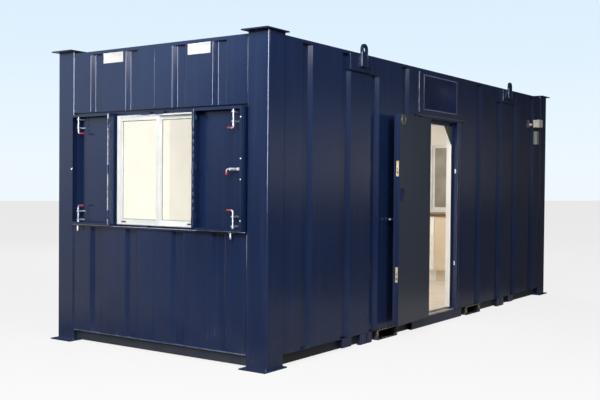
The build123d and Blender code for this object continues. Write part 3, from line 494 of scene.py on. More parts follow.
class SiteCabinStage(bpy.types.PropertyGroup):
    """Camera and light."""

    camera_place: FloatVectorProperty(
        name="Camera", description="Where it stands", default=(-5.271, -3.977, 1.432), subtype="TRANSLATION"
    )
    azimuth: number("Azimuth", "View from front, turned, in degrees", -55.049)
    elevation: number("Elevation", "Camera above the horizon, in degrees", 1.061)
    roll: number("Roll", "Turn about the line of sight, in degrees", 0.496)
    lens: number("Lens", "Focal length", 52.39, "CAMERA")
    even: number("Even light", "Strength of the light from all round", 0.10)
    glint: number("Glint", "Power of the strip that glints on folds", 1700.0, "POWER")
    gable: number("Gable", "Power of the soft lamp at the gable", 720.0, "POWER")
    front: number("Front", "Power of the soft lamp at the front", 215.0, "POWER")
    back: number("Back", "Power of the soft lamp at the back", 380.0, "POWER")
    inside: number("Inside", "Power of the lamps inside", 32.0, "POWER")
    floor_size: number("Floor", "Side of the square floor", 240.0, "LENGTH")
    floor_reach: number("Floor reach", "Cabin to the far edge", 60.5, "LENGTH")
    floor_turn: number("Floor turn", "Azimuth of the far edge, in degrees", 60.3)


# ---- finishes on the frame


class CABIN_OT_finish_steel(bpy.types.Operator):
    """Paint the steelwork"""

    bl_idname = "cabin.finish_steel"
    bl_label = "Paint the steelwork"

    def execute(self, context):
        colours = context.scene.cabin_colours
        paint, shade = colours.paint, colours.paint_shade
        # sprayed gloss enamel: sharp glints on the folds, faint streaks on the flats
        dress(
            "back_cladding corner_post_back_left corner_post_back_right corner_post_front_left "
            "corner_post_front_right door_head door_hinge_leaves door_holdback door_hinge_pins "
            "door_jamb_left door_jamb_right door_sill front_cladding_left front_cladding_right "
            "left_gable_cladding lifting_points_back lifting_points_front over_door_panel "
            "rail_brackets right_gable_cladding roof_rails roof_sheet shutter_hinge_strips "
            "strike_plates",
            enamel(PAINT, paint, shade),
        )
        # brushed on the folded pans: mirrors a little less than the sprayed walls
        dress(
            "right_gable_shutters shutter_left shutter_right",
            enamel("brushed navy enamel", paint, shade, sheen=0.17),
        )
        # the door leaf is grey inside, and navy on its skin and edge
        dress("door_leaf", enamel("door enamel, grey inside", paint, shade, inner=colours.door_inside))
        # chassis under the walls: painted darker for the shade under the cladding's overhang, and dull with
        # road dirt
        dress(
            "back_rail end_rails front_rail",
            enamel("dark chassis enamel, painted shade", "#151B2C", "#10141F", sheen=0.4),
        )
        # rubbed bright and rusty at the mouths by the forks
        dress("fork_pockets", enamel("worn fork pocket enamel", "#20253A", "#1A1E30", lips="#A9A492"))
        # brushed primer: dull grey green
        dress("door_gusset", enamel("grey green primer", "#4C5652", "#3E4744"))
        # rolled gutter strip: chalky grey, painted lighter than the navy as a highlight for the light on its
        # outward face
        dress("drip_channel", enamel("grey gutter enamel, painted highlight", "#3D4250", "#2E3340"))
        # plated rod: bright and slightly cloudy
        dress(
            "shutter_left_bolts shutter_right_bolts",
            plain(ZINC, "#E4E6E8", "#C6CACD", (0.3, 0.45), grain=1.43, bump=0.06, patch=50, metal=0.6),
        )
        # satin brushed brass: soft warm shine with tarnish in patches
        dress(
            "lock_plates",
            plain(BRASS, "#EAD9AC", "#CDB47C", (0.3, 0.45), grain=1.11, bump=0.05, patch=40, metal=0.6),
        )
        # primed hot rolled steel: dark, matt and scaly
        dress(
            "floor_joists",
            plain("primed joist steel", "#3A3D42", "#2B2D31", (0.6, 0.8), grain=2.5, bump=0.2, patch=333.3),
        )
        # pressed navy tray of the pull, and above it the round cover in olive grey rubber
        dress("door_furniture", by_place("pull tray and round cover", "Z", 1.9, "#1A2858", "#4A4E44"))
        # extruded aluminium: pale silver whose grain blurs what it mirrors
        dress(
            "threshold",
            plain("mill aluminium", "#D0CEC8", "#B5B3AC", (0.3, 0.5), patch=166.7, metal=0.9),
        )
        return {"FINISHED"}


class CABIN_OT_finish_inside(bpy.types.Operator):
    """Line the inside"""

    bl_idname = "cabin.finish_inside"
    bl_label = "Line the inside"

    def execute(self, context):
        colours = context.scene.cabin_colours
        # foiled wall board: warm white, almost without shine
        dress(
            "front_wall_left front_wall_right front_wall_over_door left_gable_wall "
            "right_gable_wall ceiling",
            plain("vinyl faced board", colours.lining, "#EEE8DF", (0.45, 0.6), bump=0.08, patch=1000),
        )
        # the back wall's first board is whiter and the rest a shade greyer: painted shade for the dimmer
        # light past the first board
        painted_shade_from = 1.373
        dress("back_wall", by_place("back wall, whiter first board and painted shade beyond", "X", painted_shade_from, "#F5F2EB", "#E4E0DA"))
        # calendered sheet vinyl: sand, with a soft sheen in the doorway's light
        dress("floor", plain("sand sheet vinyl", "#E2D9CD", "#D8CEBF", (0.3, 0.45), grain=3.33))
        # pressed laminate: brown grey stone print, hard and satin
        dress(
            "worktop",
            plain("laminate worktop", "#A39079", "#8A7862", (0.3, 0.45), grain=1.67, bump=0.05, patch=111.1),
        )
        # melamine: pale wood up to the split and white past it
        split = 1.273
        dress("base_unit", by_place("white and pale wood carcass", "Y", split, "#DDCBB2", "#F0EFEA"))
        dress("unit_doors", by_place("white and pale wood doors", "Y", split, "#DAC6AA", "#F0EFEA"))
        # extruded window profile: clean white, slightly waxy
        dress(
            "left_window_frame right_window_frame",
            plain(WHITE, "#F4F5F3", "#E9EAE8", (0.25, 0.38), bump=0.03, patch=333.3),
        )
        # moulded polycarbonate box, yellowed by the sun
        dress("inlet_box", plain(CREAM, "#DDD9C8", "#CFCAB6", (0.35, 0.5), grain=1.67, patch=125))
        # extruded trunking: mid grey and nearly matt
        dress(
            "inlet_trunking",
            plain("grey trunking", "#8F9490", "#7E837F", (0.4, 0.55), grain=1.67, patch=125),
        )
        # float glass: clear, faintly green, with sharp reflections
        glass, tree = new_finish("float glass")
        coated(tree, Base_Color=linear("#F6FAF8"), Roughness=0.01, IOR=1.52, Transmission_Weight=1.0)
        dress("left_window_glass", glass)
        # the far pane before the shut shutters: an opaque grey brown blank in place of glass, a painted
        # reflection of what the glass mirrors
        dress(
            "right_window_glass",
            plain("grey brown blank pane, painted reflection", "#A9A498", "#8F8878", (0.3, 0.45), grain=1.11, bump=0.15, patch=333.3),
        )
        return {"FINISHED"}


# ---- pieces


class CABIN_OT_add_plates(bpy.types.Operator):
    """Add the bare sign over the door, the panel's painted edge highlight and the two bare plates on the
    gable
    """

    bl_idname = "cabin.add_plates"
    bl_label = "Add the plates"

    def execute(self, context):
        sizes = context.scene.cabin_sizes
        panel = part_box("over_door_panel")
        face = panel[0].y
        low = Vector((sizes.sign_low[0], face - 0.003, sizes.sign_low[1]))
        high = Vector((sizes.sign_high[0], face, sizes.sign_high[1]))
        sign = press(cuboid(low, high, 0.001), FRONT, margin=0.012, depth=0.0006)
        # cut film: even, deep blue and less glossy than the paint
        film = plain("navy vinyl sign face", "#1A2750", "#172246", (0.3, 0.42), bump=0.04, patch=500)
        piece("door_sign", film, [sign])
        line_thick = 0.0008
        middle = (low + high) / 2
        middle.y = low.y - line_thick
        size = (high.x - low.x, high.z - low.z)
        line = ring(middle, size, width=0.009, thick=line_thick, way=FRONT)
        # screen printed border, faded to a cool grey
        print_ink = plain("printed silver line", "#7D86A0", "#69728E", bump=0.05, patch=166.7)
        piece("door_sign_line", print_ink, [line])

        # a painted highlight along the panel's edge: light and broken
        line_highlight_finish = plain(HIGHLIGHT_LINE, "#C0C6D2", "#7C869C", (0.3, 0.45), grain=3.33, patch=62.5)
        near = Vector((panel[0].x, face - 0.0006, panel[0].z + 0.02))
        far = Vector((near.x, near.y, panel[1].z - 0.005))
        edge = bar(near, far, radius=0.0024, edge=0.0006, sides=8)
        piece("panel_edge_highlight", line_highlight_finish, [edge])

        # stoved enamel plate: bright, clean white with a soft shine
        notice = plain("white enamelled plate", "#F7F6F3", "#EDEBE6", (0.3, 0.45), bump=0.05)
        screw_in = 0.012
        for name, middle in (("left", 1.694), ("right", 0.710)):
            top = CLADDING_TOP - 0.001
            low = Vector((CLADDING - 0.002, middle - sizes.notice_wide / 2, top - sizes.notice_high))
            high = Vector((CLADDING, middle + sizes.notice_wide / 2, top))
            plate = press(cuboid(low, high, 0.0008), LEFT, margin=0.006, depth=0.0005)
            heads = [
                head((low.x, y, z), 0.004, LEFT)
                for y in (low.y + screw_in, high.y - screw_in)
                for z in (low.z + screw_in, high.z - screw_in)
            ]
            piece(f"gable_plate_{name}", notice, [plate, *heads])
        return {"FINISHED"}


class CABIN_OT_add_welds(bpy.types.Operator):
    """Add the weld beads on the gables and round the lifting points, and painted highlights on the eyes'
    edges
    """

    bl_idname = "cabin.add_welds"
    bl_label = "Add the weld beads"

    def execute(self, context):
        radius = context.scene.cabin_sizes.weld
        spans = ((CLADDING_FOOT, BAND[0] - LEDGE), (BAND[1], CLADDING_TOP))
        seams = [
            weld((CLADDING, y, start), (CLADDING, y, end), radius * size, seed)
            for seed, (y, size) in enumerate(((WIDTH - POST, 1.1), (WIDTH / 2, 0.8)), 1)
            for start, end in spans
        ]
        # the joint at the near post is filled and smooth
        filled = radius * 0.6
        seams += [bar((CLADDING, POST, low), (CLADDING, POST, high), filled, sides=10) for low, high in spans]
        far = mirrored(seams, ALONG)
        piece("left_gable_seams", PAINT, seams)
        piece("right_gable_seams", PAINT, far)

        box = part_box("lifting_points_front")
        face = CLADDING - DOUBLER_OUT
        sunk = face + 0.003  # beads on the doubler's ends sit back from its face
        near, far = box[0].x, box[0].x + DOUBLER_LONG
        low, high = box[0].z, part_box("corner_post_front_left")[1].z - DOUBLER_DROP
        eye = [box[0].x + edge for edge in EYE]
        eye_low = low + 0.04
        feet = ((near, sunk, low), (far, sunk, low), (eye[0], face, eye_low), (eye[1], face, eye_low))
        beads = [weld((x, y, z), (x, y, high), radius, seed) for seed, (x, y, z) in enumerate(feet, 7)]
        beads.append(weld((near, sunk, low), (far, sunk, low), radius * 0.7, 11))
        beads += mirrored(beads, ALONG)
        behind = mirrored(beads, ACROSS)
        piece("lifting_welds_front", PAINT, beads)
        piece("lifting_welds_back", PAINT, behind)

        # painted highlights along the edges of the eye plates, where the light catches them
        front = box[0].y + 0.0020
        edges = [
            bar((x, front, low + 0.050), (x, front, high + 0.030), radius=0.0028, edge=0.0006, sides=8)
            for x in eye
        ]
        edges += mirrored(edges, ALONG)
        far_edge_highlights = mirrored(edges, ACROSS)
        piece("eye_edge_highlights_front", HIGHLIGHT_LINE, edges)
        piece("eye_edge_highlights_back", HIGHLIGHT_LINE, far_edge_highlights)
        return {"FINISHED"}


class CABIN_OT_add_foot_trims(bpy.types.Operator):
    """Add the flanges that close the foot of the cladding, painted lighter along the gables as a highlight"""

    bl_idname = "cabin.add_foot_trims"
    bl_label = "Add the foot trims"

    def execute(self, context):
        # folded edge in a dull blue grey: a painted highlight for the light line along the gables' foot
        worn = plain(LIT_EDGE_PAINT, "#5C6884", "#3E4A68", (0.3, 0.45), grain=3.33, patch=62.5)
        foot, below = CLADDING_FOOT, CLADDING_FOOT - 0.006
        outer = CLADDING - 0.0015
        clear = 0.001  # from the posts
        inner = GABLE[1].x
        near, far = POST + clear, WIDTH - POST - clear
        gable = [
            cuboid((outer, near, below), (inner, far, foot)),
            cuboid((outer, near, below), (CLADDING, far, foot + 0.004)),
        ]
        other = mirrored(gable, ALONG)
        piece("left_gable_foot", worn, gable)
        piece("right_gable_foot", worn, other)

        start, stop = POST_WIDE + clear, LENGTH - POST_WIDE - clear
        door = (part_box("front_cladding_left")[1].x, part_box("front_cladding_right")[0].x)
        front = [
            cuboid((left, outer, below), (right, CLADDING_INNER, foot), 0.001)
            for left, right in ((start, door[0]), (door[1], stop))
        ]
        back = [cuboid((start, WIDTH - CLADDING_INNER, below), (stop, WIDTH - outer, foot))]
        piece("front_foot", PAINT, front)
        piece("back_foot", PAINT, back)
        return {"FINISHED"}


class CABIN_OT_add_shutter_fittings(bpy.types.Operator):
    """Add the grips, collars and guide plates of the shoot bolts, the rivets and the hinge strips"""

    bl_idname = "cabin.add_shutter_fittings"
    bl_label = "Fit the shutters"

    def execute(self, context):
        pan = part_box("shutter_left")
        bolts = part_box("shutter_left_bolts")
        middle = (pan[0].z + pan[1].z) / 2
        sheet = pan[1].x - SHUTTER_SHEET
        lips = sheet - SHUTTER_LIPS
        x = sheet - BOLT_OUT
        y = pan[1].y - BOLT_IN
        other_edge = WIDTH - pan[1].y  # the right pan's free edge
        thick = 0.0085  # radius of the grips and collars
        ends = ((bolts[1].z, -1), (bolts[0].z, 1))  # each upright bolt's tip and the way to its grip

        grips, collars, plates = [], [], []
        for tip, way in ends:
            turn = tip + way * BOLT_LONG
            grips.append(bar((x, bolts[0].y - 0.002, turn), (x, y - 0.016, turn), thick, 0.003))
            for along in (0.012, 0.066, 0.125):
                collars.append(bar((x, y, tip + way * along), (x, y, tip + way * (along + 0.008)), thick))
            for along in (0.030, 0.105):
                guide = tip + way * along
                low = (sheet - 0.002, y - 0.026, guide - 0.014)
                high = (sheet, y + 0.026, guide + 0.014)
                plates.append(press(cuboid(low, high), LEFT, margin=0.004, depth=0.0005))
                collars.append(head((sheet - 0.002, y - 0.019, guide), 0.0055, LEFT))
                plates.append(head((sheet - 0.002, y + 0.019, guide), 0.0055, LEFT))
        fittings = (grips, plates, collars)
        other_grips, other_plates, other_collars = [mirrored(parts, ACROSS) for parts in fittings]
        # the right shutter also has a level bolt at its middle, turned down at the grip
        tip = other_edge + BOLT_END
        turn = tip + MIDDLE_BOLT_LONG
        other_grips.append(bar((x, turn, middle - 0.044), (x, turn, middle - 0.016), thick, 0.003))
        for along in (0.012, 0.066):
            other_collars.append(bar((x, tip + along, middle), (x, tip + along + 0.008, middle), thick))
        # dipped sleeves: red, rubbery and rubbed darker
        grip = plain("red dipped grip", context.scene.cabin_colours.grip, "#8E2A2E", patch=55.56)
        piece("shutter_right_guides", PAINT, other_plates, body="shutter_right")
        piece("shutter_left_guides", PAINT, plates, body="shutter_left")
        piece("shutter_left_grips", grip, grips, body="shutter_left")
        piece("shutter_left_collars", ZINC, collars, body="shutter_left")
        piece("shutter_right_grips", grip, other_grips, body="shutter_right")
        piece("shutter_right_collars", ZINC, other_collars, body="shutter_right")

        rivets = [
            head((lips, other_edge + LIP_MIDDLE, middle + height), 0.006, LEFT)
            for height in (-0.40, -0.08, 0.08, 0.40)
        ]
        piece("shutter_right_rivets", ZINC, rivets, body="shutter_right")
        edge = pan[1].y - LIP_MIDDLE
        hook = (lips - 0.003, edge, middle - 0.006)
        catch = [
            bar((lips, edge - 0.010, middle + 0.016), hook, 0.003),
            bar(hook, (lips, edge + 0.010, middle + 0.016), 0.003),
        ]
        piece("shutter_left_catch", ZINC, catch, body="shutter_left")

        # tubes of the long hinge between the knuckles, with a seam at every leaf
        pin = Vector(JOINTS["shutter_left_hinge"]["pos_m"])
        count = 16
        margin, seam = 0.006, 0.0006
        step = (pan[1].z - pan[0].z - 2 * margin) / count
        tubes = []
        for i in range(count):
            low = pan[0].z + margin + step * i + seam
            high = pan[0].z + margin + step * (i + 1) - seam
            tubes.append(bar((pin.x, pin.y, low), (pin.x, pin.y, high), 0.0062, 0.0012, 16))
        other = mirrored(tubes, ACROSS)
        # dull, blotched light grey zinc on the left shutter's hinge only: a painted reflection for the light
        # line seen along it
        dull = plain(
            "light grey hinge tube, painted reflection", "#A7ABB0", "#70757C", (0.4, 0.55), bump=0.15, patch=33.33, metal=0.3
        )
        piece("shutter_left_hinge_tube", dull, tubes)
        piece("shutter_right_hinge_tube", PAINT, other)
        return {"FINISHED"}


class CABIN_OT_add_window_fittings(bpy.types.Operator):
    """Add the gaskets, drain covers, keepers and the sockets under the ledge"""

    bl_idname = "cabin.add_window_fittings"
    bl_label = "Fit the windows"

    # near and far side, foot and head of the blocks that the shoot bolts go into
    keepers = (
        (1.249, 1.363, 2.007, 2.027),
        (1.095, 1.194, 2.007, 2.027),
        (1.268, 1.357, 1.051, 1.070),
        (1.103, 1.194, 1.051, 1.070),
    )

    def execute(self, context):
        # extruded gasket: soft grey and dull
        rubber = plain("grey glazing gasket", "#8A8D90", "#6F7275", (0.5, 0.65), patch=83.33)
        # moulded covers: nearly black slots in the white frame
        dark = plain("dark drain cover", "#2C2A26", "#1F1E1B", (0.5, 0.65), patch=83.33)
        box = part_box("left_window_frame")
        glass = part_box("left_window_glass")
        outer, inner = glass[0].x, glass[1].x - 0.004  # faces of the outer and the inner pane
        meet = WIDTH / 2 - SASH_MEET
        height = glass[1].z - glass[0].z
        upright = (glass[0].z + glass[1].z) / 2
        panes = ((outer, meet + SASH_BAR, glass[1].y), (inner, glass[0].y, meet))
        gaskets = [
            ring((x - 0.004, (near + far) / 2, upright), (far - near, height), 0.005, 0.004, LEFT)
            for x, near, far in panes
        ]
        lap = 0.008  # sealant round the frame, over its width and height
        around = (box[1].y - box[0].y + lap, box[1].z - box[0].z + lap)
        gaskets.append(ring((box[0].x, WIDTH / 2, (box[0].z + box[1].z) / 2), around, 0.0038, 0.02, LEFT))
        piece("left_window_gaskets", rubber, gaskets)
        drains = [
            press(cuboid((x - 0.003, near, 1.088), (x, far, 1.100), 0.001), LEFT, 0.002, 0.0005)
            for x, near, far in ((outer - 0.017, 1.541, 1.597), (inner - 0.017, 0.813, 0.860))
        ]
        piece("left_window_drains", dark, drains)
        latch = cuboid((outer - 0.020, meet + 0.010, 1.50), (outer - 0.017, meet + 0.023, 1.56))
        piece("left_window_latch", WHITE, [latch])

        band = GABLE[1].x - 0.003  # the band's sheet, from inside
        blocks = [
            press(cuboid((-0.004, near, low), (band, far, high), 0.002), LEFT, 0.004, 0.001)
            for near, far, low, high in self.keepers
        ]
        piece("shutter_keepers", PAINT, blocks)
        sockets = []
        out = -0.028  # the lower bolts' sockets, in front of the gable
        for y in (0.343, 2.102):
            sockets.append(cuboid((-0.040, y - 0.009, 1.037), (-0.011, y + 0.009, 1.041)))
            sockets.append(bar((out, y, 0.996), (out, y, 1.044), 0.007, 0.002))
            sockets.append(bar((out, y, 1.008), (out, y, 1.018), 0.0095, 0.002))
        piece("ledge_sockets", ZINC, sockets)
        # a thin bright zinc strip along the ledge's front edge: a painted highlight for the light line on
        # that edge
        ledge = GABLE[0].x
        start, stop = POST + 0.004, WIDTH - POST - 0.004
        edge = cuboid((ledge - 0.0006, start, BAND[0] + 0.0005), (ledge, stop, BAND[0] + 0.0035), 0.0002)
        piece("ledge_edge_highlight", ZINC, [edge])
        return {"FINISHED"}


class CABIN_OT_add_door_fittings(bpy.types.Operator):
    """Add the seals, keepers, key plates, round cover's rim and painted highlights on the door's jamb"""

    bl_idname = "cabin.add_door_fittings"
    bl_label = "Fit the door"

    def execute(self, context):
        # extruded foam rubber: matt black
        black = plain(SEAL, "#17181A", "#101112", (0.5, 0.65), patch=83.33)
        stops = (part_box("door_jamb_left")[1].x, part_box("door_jamb_right")[0].x)
        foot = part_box("threshold")[1].z + 0.002
        # the head's seal stops short, because the round cover swings past it
        depth, size = 0.0325, 0.002
        near, far, over = stops[0] - 0.010, stops[1] + 0.018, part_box("door_head")[0].z + 0.010
        seals = [bar((x, depth, foot), (x, depth, over), size, 0.0006, 12) for x in (near, far)]
        seals.append(bar((near, depth, over), (stops[1] - 0.130, depth, over), size, 0.0006, 12))
        piece("door_seals", black, seals)

        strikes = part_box("strike_plates")
        face = strikes[0].x
        keepers = []
        for z in (strikes[0].z + LOCK_TALL / 2, strikes[1].z - LOCK_TALL / 2):
            block = cuboid((face - 0.001, 0.000, z - 0.022), (face + 0.001, 0.016, z + 0.022), 0.0005)
            keepers.append(press(block, LEFT, margin=0.003, depth=0.0008))
        piece("strike_keepers", WHITE, keepers)

        # key plates on the leaf's edge: keyhole, latch slot and two screws
        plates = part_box("lock_plates")
        edge = plates[0].x
        inside = edge + 0.002
        y = (plates[0].y + plates[1].y) / 2
        slots, screws = [], []
        for z in (plates[0].z + LOCK_TALL / 2, plates[1].z - LOCK_TALL / 2):
            slots.append(bar((edge - 0.0004, y, z + 0.004), (inside, y, z + 0.004), 0.0048, 0.0003, 16))
            slots.append(cuboid((edge - 0.0004, y - 0.0017, z - 0.014), (inside, y + 0.0017, z), 0.0003))
            slots.append(
                cuboid((edge - 0.0006, y - 0.006, z - 0.046), (inside, y + 0.006, z - 0.026), 0.0005)
            )
            screws += [head((edge, y, z + way * 0.061), 0.0042, LEFT) for way in (-1, 1)]

        # rim and spots on the round cover, square to the leaf as it stands open
        swing = math.radians(JOINTS["door_hinge"]["range_deg"][1])
        pin = Vector(JOINTS["door_hinge"]["pos_m"])
        along = Vector((math.cos(swing), -math.sin(swing), 0))
        outward = Vector((math.sin(swing), math.cos(swing), 0))
        middle = pin + COVER[0] * along + COVER[1] * outward
        middle.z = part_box("door_furniture")[1].z - COVER_R
        nothing_selected()
        bpy.ops.mesh.primitive_torus_add(
            major_segments=40, minor_segments=8, major_radius=0.044, minor_radius=0.0012,
            location=middle, rotation=(math.pi / 2, 0.0, math.pi - swing),
        )
        rim = applied()
        bpy.ops.object.shade_smooth()
        piece("door_cover_rim", ZINC, [rim], body="door")
        spots = [
            head(middle + out * along + Vector((0, 0, up)), radius, outward)
            for out, up, radius in ((0.030, 0.006, 0.005), (-0.012, -0.014, 0.004))
        ]
        piece("door_cover_screws", ZINC, spots, body="door")
        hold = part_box("door_holdback")
        tip = Vector((hold[0].x, (hold[0].y + hold[1].y) / 2, (hold[0].z + hold[1].z) / 2))
        piece("holdback_screw", ZINC, [head(tip, 0.010, LEFT)])
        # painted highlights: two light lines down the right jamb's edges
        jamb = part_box("door_jamb_right")
        face, low, high = jamb[0].y + 0.0004, jamb[0].z + 0.01, jamb[1].z - 0.01
        edges = [
            bar((x, face, low), (x, face, high), 0.0012, 0.0003, 8)
            for x in (jamb[1].x - 0.001, jamb[1].x - 0.050)
        ]
        piece("jamb_edge_highlights", LIT_EDGE_PAINT, edges)
        piece("lock_slots", black, slots, body="door")
        piece("lock_screws", BRASS, screws, body="door")
        return {"FINISHED"}


class CABIN_OT_add_reveal(bpy.types.Operator):
    """Add the white lining and trim of the door reveal and the worktop's edge strip"""

    bl_idname = "cabin.add_reveal"
    bl_label = "Line the reveal"

    def execute(self, context):
        thick = context.scene.cabin_sizes.lining
        left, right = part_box("door_jamb_left")[1].x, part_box("door_jamb_right")[0].x
        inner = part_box("door_jamb_left")[1].y
        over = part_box("door_head")[0].z
        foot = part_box("threshold")[1].z
        near = 0.0375  # behind the stops
        wide = 0.045  # trim on the wall round the reveal
        back = inner + 0.010
        boards = [
            cuboid((left, near, foot), (left + thick, inner, over)),
            cuboid((right - thick, near, foot), (right, inner, over)),
            cuboid((left, near, over - thick), (right, inner, over)),
            cuboid((left - wide, inner, foot), (left + thick, back, over + wide)),
            cuboid((right - thick, inner, foot), (right + wide, back, over + wide)),
            cuboid((left - wide, inner, over - thick), (right + wide, back, over + wide)),
        ]
        # painted board: the whitest thing in the doorway, low sheen
        white = plain(
            "white painted reveal board", "#FBFAF7", "#F3F0EA", (0.4, 0.55), grain=2.5, bump=0.06, patch=500
        )
        piece("door_reveal", white, boards)

        low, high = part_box("worktop")
        edge = cuboid((low.x - 0.0015, low.y, low.z + 0.004), (low.x, high.y, high.z - 0.002), 0.0006)
        # glued edge strip: dark brown line along the worktop's front
        strip = plain("brown edge strip", "#6B4F38", "#5A412E", bump=0.05, patch=111.1)
        piece("worktop_edge", strip, [edge])
        return {"FINISHED"}


class CABIN_OT_add_inlet_fittings(bpy.types.Operator):
    """Add the lid seam, screws and small gland of the inlet box"""

    bl_idname = "cabin.add_inlet_fittings"
    bl_label = "Fit the inlet box"

    def execute(self, context):
        low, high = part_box("inlet_box")
        middle = (low + high) / 2
        middle.y = low.y + 0.014
        lap = 0.002
        seam = ring(middle, (high.x - low.x + lap, high.z - low.z + lap), 0.003, 0.0025, FRONT)
        piece("inlet_lid_seam", SEAL, [seam])
        screw_in = 0.012
        screws = [
            head((x, low.y, z), 0.005, FRONT)
            for x in (low.x + screw_in, high.x - screw_in)
            for z in (low.z + screw_in, high.z - screw_in)
        ]
        screws += [
            head((low.x, low.y + back, middle.z + up), 0.006, LEFT)
            for back, up in ((0.024, 0.020), (0.040, 0.0), (0.024, -0.020))
        ]
        piece("inlet_screws", ZINC, screws)
        x, z = low.x - 0.135, high.z - 0.070
        neck = CLADDING - 0.022
        gland = [
            bar((x, CLADDING + 0.002, z), (x, neck, z), 0.016, 0.003),
            bar((x, neck, z), (x, CLADDING - 0.034, z), 0.010, 0.003),
        ]
        piece("inlet_gland", CREAM, gland)
        return {"FINISHED"}


# ---- stage


def towards(tree, parts, azimuth):
    """How far a direction points to an azimuth in degrees, from -1 to 1."""
    turn = math.radians(azimuth)
    across = product(tree, parts.outputs["X"], math.cos(turn))
    return maths(tree, "ADD", across, product(tree, parts.outputs["Y"], math.sin(turn)))


def glow(tree, colour, strength):
    """A background of one colour or socket and a strength."""
    return add(tree, "ShaderNodeBackground", {"Color": colour, "Strength": strength}).outputs[0]


def mirrored_yard(tree, parts):
    """What the enamel mirrors: bright sky past the gable's left, grey yard in front, dark to the right."""
    height = parts.outputs["Z"]
    lifted = maths(tree, "ADD", towards(tree, parts, 110.0), product(tree, height, 0.42))
    greys = ((0.895, 0.01), (0.908, 0.35), (0.925, 1.0))
    lobe = ramp(tree, lifted, [(at, (grey, grey, grey, 1)) for at, grey in greys])
    climb = spread(tree, height, -0.04, 0.12, 0.6, 1.45)
    tinted = ramp(tree, height, ((0.0, linear("#E2EBFA")), (0.14, linear("#C8DCFA"))))
    open_sky = glow(tree, tinted, product(tree, lobe, climb))
    west = towards(tree, parts, 180.0)
    blue = product(tree, spread(tree, west, 0.3, 0.9), spread(tree, height, 0.0, 0.2), 0.8)
    overhead = glow(tree, linear("#7FA2DC"), blue)
    dark_east = spread(tree, towards(tree, parts, 0.0), 0.94, 0.88, 0.02, 0.62)
    dark_west = spread(tree, west, 0.3, 0.75, 1.0, 0.4)
    near_ground = spread(tree, height, 0.10, 0.03, 0.1, 1.0)
    yard = glow(tree, linear("#F2EEE2"), product(tree, dark_east, dark_west, near_ground))
    both = add(tree, "ShaderNodeAddShader", {0: open_sky, 1: overhead})
    return add(tree, "ShaderNodeAddShader", {0: both.outputs[0], 1: yard}).outputs[0]


def ray_kinds(tree):
    """Two switches: seen by the camera, also through glass, and mirrored."""
    path = add(tree, "ShaderNodeLightPath").outputs
    return maths(tree, "MAXIMUM", path["Is Camera Ray"], path["Is Transmission Ray"]), path["Is Glossy Ray"]


def backdrop(even):
    """A pale even sky for the camera, soft light for what is lit and the yard for what is mirrored."""
    world = bpy.data.worlds.new("pale backdrop")
    world.use_nodes = True
    tree = world.node_tree
    tree.nodes.clear()
    way = add(tree, "ShaderNodeTexCoord").outputs["Generated"]
    parts = add(tree, "ShaderNodeSeparateXYZ", {"Vector": way})
    height = spread(tree, parts.outputs["Z"], -0.02, 0.25)
    pale = ((0.133, "#EFF8FF"), (0.344, "#E9F6FF"), (0.596, "#E1F2FF"), (0.837, "#DDEFFD"))
    shown = glow(tree, ramp(tree, height, [(at, linear(colour)) for at, colour in pale]), 1.0)
    soft = glow(tree, linear("#EEF3FA"), even)
    seen, glossy = ray_kinds(tree)
    unseen = add(tree, "ShaderNodeMixShader", {0: glossy, 1: soft, 2: mirrored_yard(tree, parts)})
    both = add(tree, "ShaderNodeMixShader", {0: seen, 1: unseen.outputs[0], 2: shown})
    add(tree, "ShaderNodeOutputWorld", {"Surface": both.outputs[0]})
    return world


def floor_finish():
    """Pale floor that melts into the backdrop far off and keeps a weak shadow close by."""
    finish, tree = new_finish("pale studio floor")
    place = add(tree, "ShaderNodeTexCoord").outputs["Object"]
    parts = add(tree, "ShaderNodeSeparateXYZ", {"Vector": place})
    x, y = parts.outputs["X"], parts.outputs["Y"]
    shade = spread(tree, maths(tree, "ADD", x, y), -6.0, 60.0)
    pale = ((0.0, "#EAEAEA"), (0.2, "#E9E9E9"), (1.0, "#E7E7E7"))
    near_to_far = ramp(tree, shade, [(at, linear(colour)) for at, colour in pale])
    shown = add(tree, "ShaderNodeEmission", {"Color": near_to_far, "Strength": 1.0})
    matt = add(tree, "ShaderNodeBsdfDiffuse", {"Color": linear("#606060")})
    lit = add(tree, "ShaderNodeAddShader", {0: shown.outputs[0], 1: matt.outputs[0]})
    # mirrored, the floor is bright only to the left of what the gable's middle shows
    from_gable = maths(tree, "SUBTRACT", y, 1.2)
    offset = maths(tree, "ADD", product(tree, x, 0.682), product(tree, from_gable, 0.731))
    left = product(tree, spread(tree, offset, -0.8, 0.9, 0.0, 0.8), spread(tree, x, 0.0, -1.5))
    behind = maths(tree, "SUBTRACT", y, x)
    front = product(tree, spread(tree, behind, -7.0, -5.0, 0.08, 0.33), spread(tree, x, -1.0, 0.5, 0.3, 1.0))
    strength = maths(tree, "MAXIMUM", left, front)
    dull = add(tree, "ShaderNodeEmission", {"Color": linear("#E6E2DA"), "Strength": strength})
    seen = ray_kinds(tree)[0]
    both = add(tree, "ShaderNodeMixShader", {0: seen, 1: dull.outputs[0], 2: lit.outputs[0]})
    add(tree, "ShaderNodeOutputMaterial", {"Surface": both.outputs[0]})
    return finish


def lamp(name, place, aim, size, power, colour="#FFFFFF"):
    """A rectangular lamp at a place, turned to what it lights."""
    data = bpy.data.lights.new(name, "AREA")
    data.shape = "RECTANGLE"
    data.size, data.size_y = size
    data.energy = power
    data.color = linear(colour)[:3]
    lit = bpy.data.objects.new(name, data)
    bpy.context.scene.collection.objects.link(lit)
    lit.location = place
    lit.rotation_euler = (Vector(aim) - Vector(place)).to_track_quat("-Z", "Y").to_euler()
    return lit


